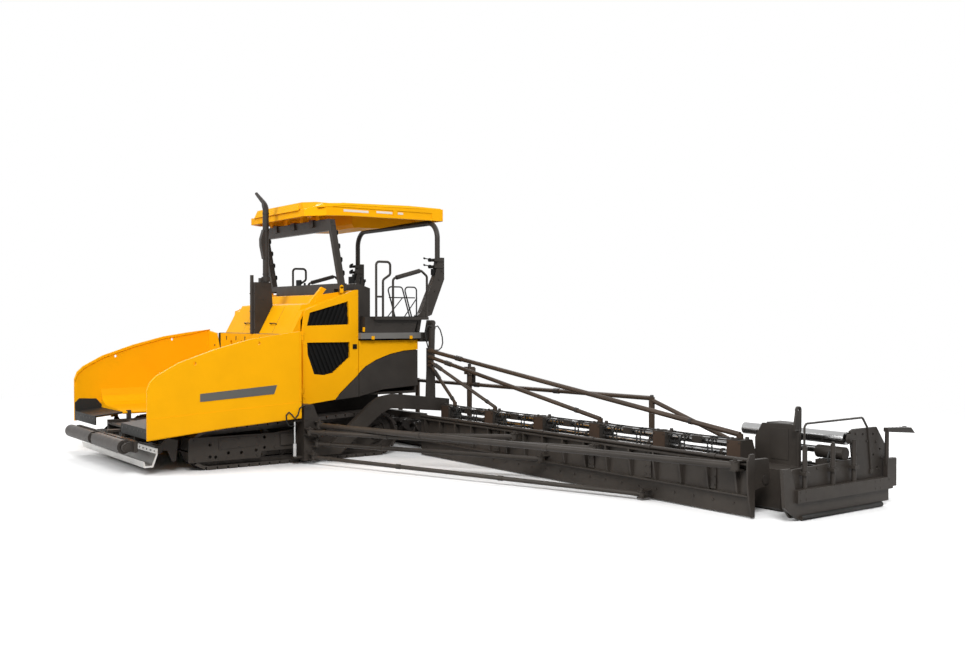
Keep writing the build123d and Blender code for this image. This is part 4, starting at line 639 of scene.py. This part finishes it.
def trim_canopy(materials):
    for side, k in SIDES:
        knobs = Build(f"canopy_knobs_{side}", "chassis", "black_grille", k)
        for z in (3.175, 3.290):
            knobs.prism((-1.66, 1.400, z), AHEAD, 0.034, 0.030, 12)
            knobs.tube([(-1.655, 1.400, z), (-1.625, 1.36, z + 0.02), (-1.60, 1.30, z + 0.03)], 0.009, 8)
            knobs.prism((-1.60, 1.31, z + 0.028), (-0.4, -1, 0.2), 0.017, 0.05, 12)
            for y in (1.345, 1.455):
                knobs.prism((-1.700, y, z), AHEAD, 0.012, 0.014)
        knobs.box((-1.735, 1.350, 3.03), (-1.700, 1.445, 3.14))
        knobs.finish(materials)
        bolts = Build(f"arm_bolts_{side}", "chassis", "dark_paint", k)
        bolts.wall_heads(1.4604, ((-1.86, 3.29), (-1.86, 3.10), (-1.80, 2.95), (-1.60, 2.42), (-1.50, 2.42),
                                  (-1.72, 2.75)), *HEAD)
        bolts.wall_heads(1.3304, ((-0.005, 2.785), (0.03, 2.785), (0.205, 3.86), (0.175, 3.80)), 0.012, 0.010)
        bolts.finish(materials)
        strips = Build(f"roof_strips_{side}", "chassis", "silver_steel", k)
        strips.box((-0.495, 1.2884, 4.040), (-0.025, 1.2925, 4.078))
        strips.box((-0.960, 1.2884, 4.050), (-0.650, 1.2925, 4.086))
        strips.box((-1.175, 1.2884, 4.050), (-1.070, 1.2925, 4.086))
        strips.finish(materials, "pale_strip")
        grips = Build(f"post_grips_{side}", "chassis", "black_rubber", k)
        for z in (2.98, 3.20, 3.42, 3.64):
            foot = POST_FOOT_X + POST_LEAN * (z - POST_FOOT_Z)
            for low, high, out in ((0.0, 0.09, 0.016), (0.015, 0.075, 0.026)):
                grips.box((foot - out, 1.255, z + low), (foot - SEAT, 1.315, z + high))
        grips.finish(materials)
    crown = Build("roof_crown", "chassis", "yellow_paint")
    crown.ridge([(0.598, 4.056), (0.560, 4.185), (0.350, 4.236),
                 (0.050, 4.268), (-0.500, 4.262), (-1.790, 4.232)],
                [(0.598, 4.052), (0.480, 4.085), (0.350, 4.110),
                 (0.050, 4.150), (-0.500, 4.180), (-1.790, 4.2255)],
                [(0.598, 0.86), (0.560, 0.80), (0.350, 0.52), (0.050, 0.46), (-0.500, 0.46), (-1.790, 0.60)],
                0.05)
    crown.finish(materials)
    for side, k in SIDES:
        cap = Build(f"roof_cap_{side}", "chassis", "yellow_paint", k)
        cap.ridge([(0.420, 4.110), (0.330, 4.158), (-0.100, 4.186), (-1.300, 4.214), (-1.960, 4.204)],
                  [(0.420, 4.086), (0.330, 4.095), (-0.100, 4.150), (-1.300, 4.170), (-1.960, 4.180)],
                  [(0.420, 0.09), (0.330, 0.12), (-0.100, 0.12), (-1.300, 0.12), (-1.960, 0.11)], 0.02, 1.165)
        cap.finish(materials)
    rings = Build("exhaust_rings", "chassis", "dark_paint")
    for z in (3.02, 3.30, 3.76, 4.05):
        rings.prism((0.768, 0, z), UP, 0.057, 0.022, 24)
    for z in (2.10, 2.40, 2.70):
        for y in (-0.085, 0.085):
            rings.prism((1.0155, y, z), AHEAD, 0.012, 0.010)
    for z in (2.25, 2.60, 2.82):
        for x in (0.99, 0.86):
            rings.prism((x, 0.1004, z), OUT, 0.012, 0.010)
    rings.finish(materials)


def trim_front(materials):
    for side, k in SIDES:
        rings = Build(f"roller_rings_{side}", f"push_roller_{side}", "track_steel", k)
        for y in (0.0736, 1.3904):
            rings.prism((3.610, y, 0.425), OUT, 0.094, 0.006, 32)
            rings.prism((3.610, y, 0.425), OUT, 0.055, 0.006, 24)
        rings.finish(materials)
        bolts = Build(f"push_bolts_{side}", "push_beam", "dark_paint", k)
        bolts.prism((3.610, 1.5004, 0.425), OUT, 0.034, 0.014, 16)
        for z in (0.375, 0.475):
            for y in (0.30, 0.75, 1.20):
                bolts.prism((3.5004, y, z), AHEAD, *HEAD)
        bolts.finish(materials)
        sheet = Build(f"deflector_bolts_{side}", "chassis", "silver_steel", k)
        for i in range(9):
            sheet.prism((3.2004, 0.15 + 0.165 * i, 0.345), AHEAD, *HEAD)
        sheet.finish(materials)


def trim_screed(materials):
    for side, k in SIDES:
        faces = Build(f"box_faces_{side}", "screed", "dark_paint", k)
        details = Build(f"box_details_{side}", "screed", "dark_paint", k)
        hoses = Build(f"screed_hoses_{side}", "screed", "black_rubber", k)
        for i, y in enumerate(BOX_YS):
            faces.box((BOX_FRONT_X + SEAT, y - 0.105, 0.515), (BOX_FRONT_X + 0.005, y + 0.105, 0.790))
            for dy, dz in ((-0.085, 0.54), (0.085, 0.54), (-0.085, 0.765), (0.085, 0.765)):
                details.prism((BOX_FRONT_X + 0.005, y + dy, dz), AHEAD, 0.010, 0.008)
            details.prism((-1.835, y + 0.070, BOX_TOP + SEAT), UP, 0.026, 0.030, 20, 0.85)
            details.prism((-1.730, y - 0.070, BOX_TOP + SEAT), UP, 0.018, 0.022, 12)
            details.box((-1.800, y - 0.060, BOX_TOP + SEAT), (-1.700, y + 0.030, BOX_TOP + 0.014))
            for dy in (-BOX_HALF - 0.0124, BOX_HALF + SEAT):
                for x, z in ((-1.74, 0.55), (-1.86, 0.55)):
                    details.prism((x, y + dy, z), OUT, 0.012, 0.012)
        for y in BOX_YS[:-1]:
            for dy in (0.36, 0.43, 0.82, 0.89):
                hoses.tube(arc((-1.795, y + dy, 0.690), 0.105, 178, 2, 10), 0.011, 8)
                hoses.tube([(-1.690, y + dy, 0.690), (-1.688, y + dy + 0.01, 0.60),
                            (-1.70, y + dy + 0.02, 0.512)], 0.011, 8)
            for x, z, radius in ((-1.700, 0.782, 0.010), (-1.865, 0.786, 0.012)):
                details.tube([(x, y + BOX_HALF + SEAT, z), (x, y + 0.60, z - 0.006), (x, BOX_NEXT + y, z)],
                             radius, 8)
            details.box((-1.735, y + 0.560, 0.700), (-1.685, y + 0.700, 0.792))
            hoses.tube(arc((-1.660, y + 0.290, 0.700), 0.090, 200, -20, 10, "yz"), 0.010, 8)
            for dy in (0.28, 0.98):
                details.box((-1.87, y + dy - 0.02, 0.5004), (-1.70, y + dy + 0.02, 0.562))
                details.prism((-1.800, y + dy - 0.02, 0.615), OUT, 0.047, 0.04, 20)
        run = [(-1.715 + 0.006 * math.sin(1.9 * i), 0.35 + 0.35 * i, 0.5135) for i in range(24)]
        hoses.tube(run, 0.012, 8)
        run = [(-1.955 + 0.008 * math.sin(1.3 * i + 1), 0.45 + 0.34 * i, 0.5145) for i in range(24)]
        hoses.tube(run, 0.013, 8)
        for y in JOINT_YS:
            for x in (-1.80, -1.90, -2.00, -2.10):
                for dy in (-0.034, 0.0224):
                    details.prism((x, y + dy, 0.518), OUT, 0.011, 0.012)
            for z in (0.10, 0.20, 0.30, 0.40):
                details.prism((SCREED_FRONT_X + 0.0184, y, z), AHEAD, 0.013, 0.010)
        for i in range(17):
            y = 0.30 + 0.42 * i
            if min(abs(y - joint) for joint in JOINT_YS) > 0.05:
                details.box((-2.3165, y - 0.010, 0.02), (SCREED_REAR_X - SEAT, y + 0.010, 0.195))
        for i in range(30):
            y = 0.10 + 0.25 * i
            if y < 7.40:
                details.box((-2.612, y, 0.2354), (-2.330, y + 0.012, 0.2394))
        for start_z, end_y, radius in STAYS:
            start = (-1.450, MAST_FACE + 0.040, start_z)
            end = (-1.790, end_y, 0.8203 + radius)
            details.collar(start, end, 0.12 if end_y > 3 else 0.25, 0.16, radius + 0.009, 6)
            details.collar(start, end, 0.88, 0.05, radius + 0.006)
            details.prism((-1.450, MAST_FACE + 0.0704, start_z), OUT, 0.022, 0.014, 6)
        details.collar((-2.1, 0.3, 1.14), (-2.1, 6.3, 1.175), 0.31, 0.12, 0.042)
        details.collar((-2.1, 0.3, 1.14), (-2.1, 6.3, 1.175), 0.66, 0.12, 0.042)
        details.prism((-2.1, 6.300, 1.1904), UP, 0.030, 0.03, 16, 0.8)
        details.prism((-2.1, 1.950, 1.4504), UP, 0.030, 0.05, 16)
        details.box((-2.180, 1.88, 1.15), (-2.1655, 2.02, 1.43))
        faces.finish(materials, "brown_primer")
        details.finish(materials)
        hoses.finish(materials, smooth=True)


def trim_lift(materials):
    for side, k in SIDES:
        hoses = Build(f"lift_hoses_{side}", f"lift_barrel_{side}", "black_rubber", k)
        hoses.tube([(-1.600, 1.630, 2.130), (-1.650, 1.640, 2.150), (-1.705, 1.640, 2.080),
                    (-1.745, 1.640, 1.960), (-1.755, 1.640, 1.860), (-1.730, 1.640, 1.780),
                    (-1.680, 1.630, 1.735), (-1.600, 1.610, 1.735)], 0.011)
        hoses.tube([(-1.530, 1.630, 2.120), (-1.470, 1.640, 2.160), (-1.415, 1.640, 2.120),
                    (-1.400, 1.640, 2.000), (-1.420, 1.640, 1.900), (-1.450, 1.640, 1.800),
                    (-1.480, 1.630, 1.740), (-1.520, 1.620, 1.730)], 0.011)
        hoses.finish(materials, smooth=True)
        caps = Build(f"lift_caps_{side}", f"lift_barrel_{side}", "dark_paint", k)
        caps.collar((-1.570, 1.590, 2.200), (-1.545, 1.590, 1.360), 0.665, 0.045, 0.062, 24)
        caps.collar((-1.570, 1.590, 2.200), (-1.545, 1.590, 1.360), 0.10, 0.045, 0.062, 24)
        caps.prism((-1.570, 1.6284, 2.200), OUT, 0.034, 0.014, 16)
        caps.finish(materials)


def trim_baffles(materials):
    for side, k in SIDES:
        bolts = Build(f"baffle_trim_{side}", "chassis", "dark_paint", k)
        for i in range(6):
            y = 2.95 + 1.06 * i
            bolts.box((BAFFLE_X + SEAT, y - 0.055, 0.275), (BAFFLE_X + 0.018, y + 0.055, 0.600))
            for dy in (-0.035, 0.035):
                for z in (0.32, 0.42, 0.52, 0.58):
                    bolts.prism((BAFFLE_X + 0.018, y + dy, z), AHEAD, 0.012, 0.010)
            bolts.prism((BAFFLE_X + 0.008, y - 0.05, 0.660), OUT, 0.032, 0.10, 20)
        for i in range(22):
            bolts.prism((BAFFLE_X + SEAT, 2.05 + 0.31 * i, 0.145), AHEAD, *HEAD)
        bolts.finish(materials)


def trim_ends(materials):
    for side, k in SIDES:
        body = f"extension_{side}"
        bolts = Build(f"end_plate_bolts_{side}", body, "dark_paint", k)
        bolts.wall_heads(PLATE_Y + SEAT, ((-2.64, 0.90), (-2.86, 0.80), (-3.05, 0.78), (-3.16, 0.58),
                                          (-3.12, 0.44), (-2.66, 0.66), (-1.40, 0.50), (-1.40, 0.30),
                                          (-2.20, 0.52), (-1.90, 0.55)), *HEAD)
        bolts.prism((-2.500, PLATE_Y + SEAT, 0.850), OUT, 0.060, 0.012, 28)
        for x in (-2.40, -2.60, -2.80):
            bolts.box((x - 0.010, 8.30, 0.4204), (x + 0.010, 9.10, 0.470))
        bolts.box((-2.90, 8.30, 0.4204), (-2.36, 8.34, 0.470))
        bolts.finish(materials)
        hoses = Build(f"end_hoses_{side}", body, "black_rubber", k)
        hoses.tube([(-2.20, 9.095, 0.56), (-2.22, 9.06, 0.64), (-2.30, 9.03, 0.70), (-2.38, 9.00, 0.66),
                    (-2.40, 8.98, 0.56), (-2.42, 8.96, 0.43)], 0.012)
        hoses.tube([(-2.66, 9.115, 0.56), (-2.66, 9.06, 0.60), (-2.68, 9.00, 0.57), (-2.70, 8.95, 0.43)],
                   0.012)
        hoses.finish(materials, smooth=True)
        sleeve = Build(f"end_sleeve_{side}", body, "dark_paint", k)
        sleeve.prism((-2.480, 8.740, 0.671), OUT, 0.078, 0.380, 40)
        sleeve.box((-2.620, 8.800, 0.4204), (-2.340, 9.100, 0.588))
        for x in (-2.590, -2.370):
            for y in (8.840, 9.060):
                sleeve.prism((x, y, 0.588), UP, 0.012, 0.012)
        sleeve.finish(materials)
        case = Build(f"case_trim_{side}", "screed", "dark_paint", k)
        case.box((-2.1446, 8.30, 0.56), (-2.1400, 8.56, 0.94))
        case.prism((-2.500, 8.3804, 0.850), OUT, 0.108, 0.022, 32)
        case.prism((-2.480, 8.3804, 0.690), OUT, 0.062, 0.022, 24)
        case.finish(materials)
        gate = Build(f"gate_trim_{side}", f"end_gate_{side}", "dark_paint", k)
        for x in (-1.47, -1.57, -2.90, -3.00, -3.18):
            for z in (0.235, 0.320):
                gate.prism((x, GATE_Y + SEAT, z), OUT, 0.014, 0.0024)
        for x in (-1.605, -2.125, -2.535):
            gate.prism((x, 9.200, 0.8204), UP, 0.020, 0.022, 16)
        for i in range(5):
            x = -3.24 - 0.075 * i
            gate.box((x - 0.006, 9.20, 0.930 + 0.004 * i), (x + 0.006, 9.25, 0.947 - 0.003 * i))
        gate.finish(materials)
        runner = Build(f"gate_runner_{side}", f"end_gate_{side}", "black_rubber", k)
        runner.tube([(-1.502, 9.2294, 0.032), (-3.048, 9.2294, 0.032)], 0.0286, 48)
        runner.finish(materials, smooth=True)


def dress(materials):
    for trim in (trim_wings, trim_tracks, trim_tow_columns, trim_doors, trim_body, trim_deck, trim_canopy,
                 trim_front, trim_screed, trim_lift, trim_baffles, trim_ends):
        trim(materials)


def main():
    clear()
    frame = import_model()
    materials = make_materials()
    dress_nodes(frame, materials)
    dress(materials)
    make_stage()
    make_camera()


main()
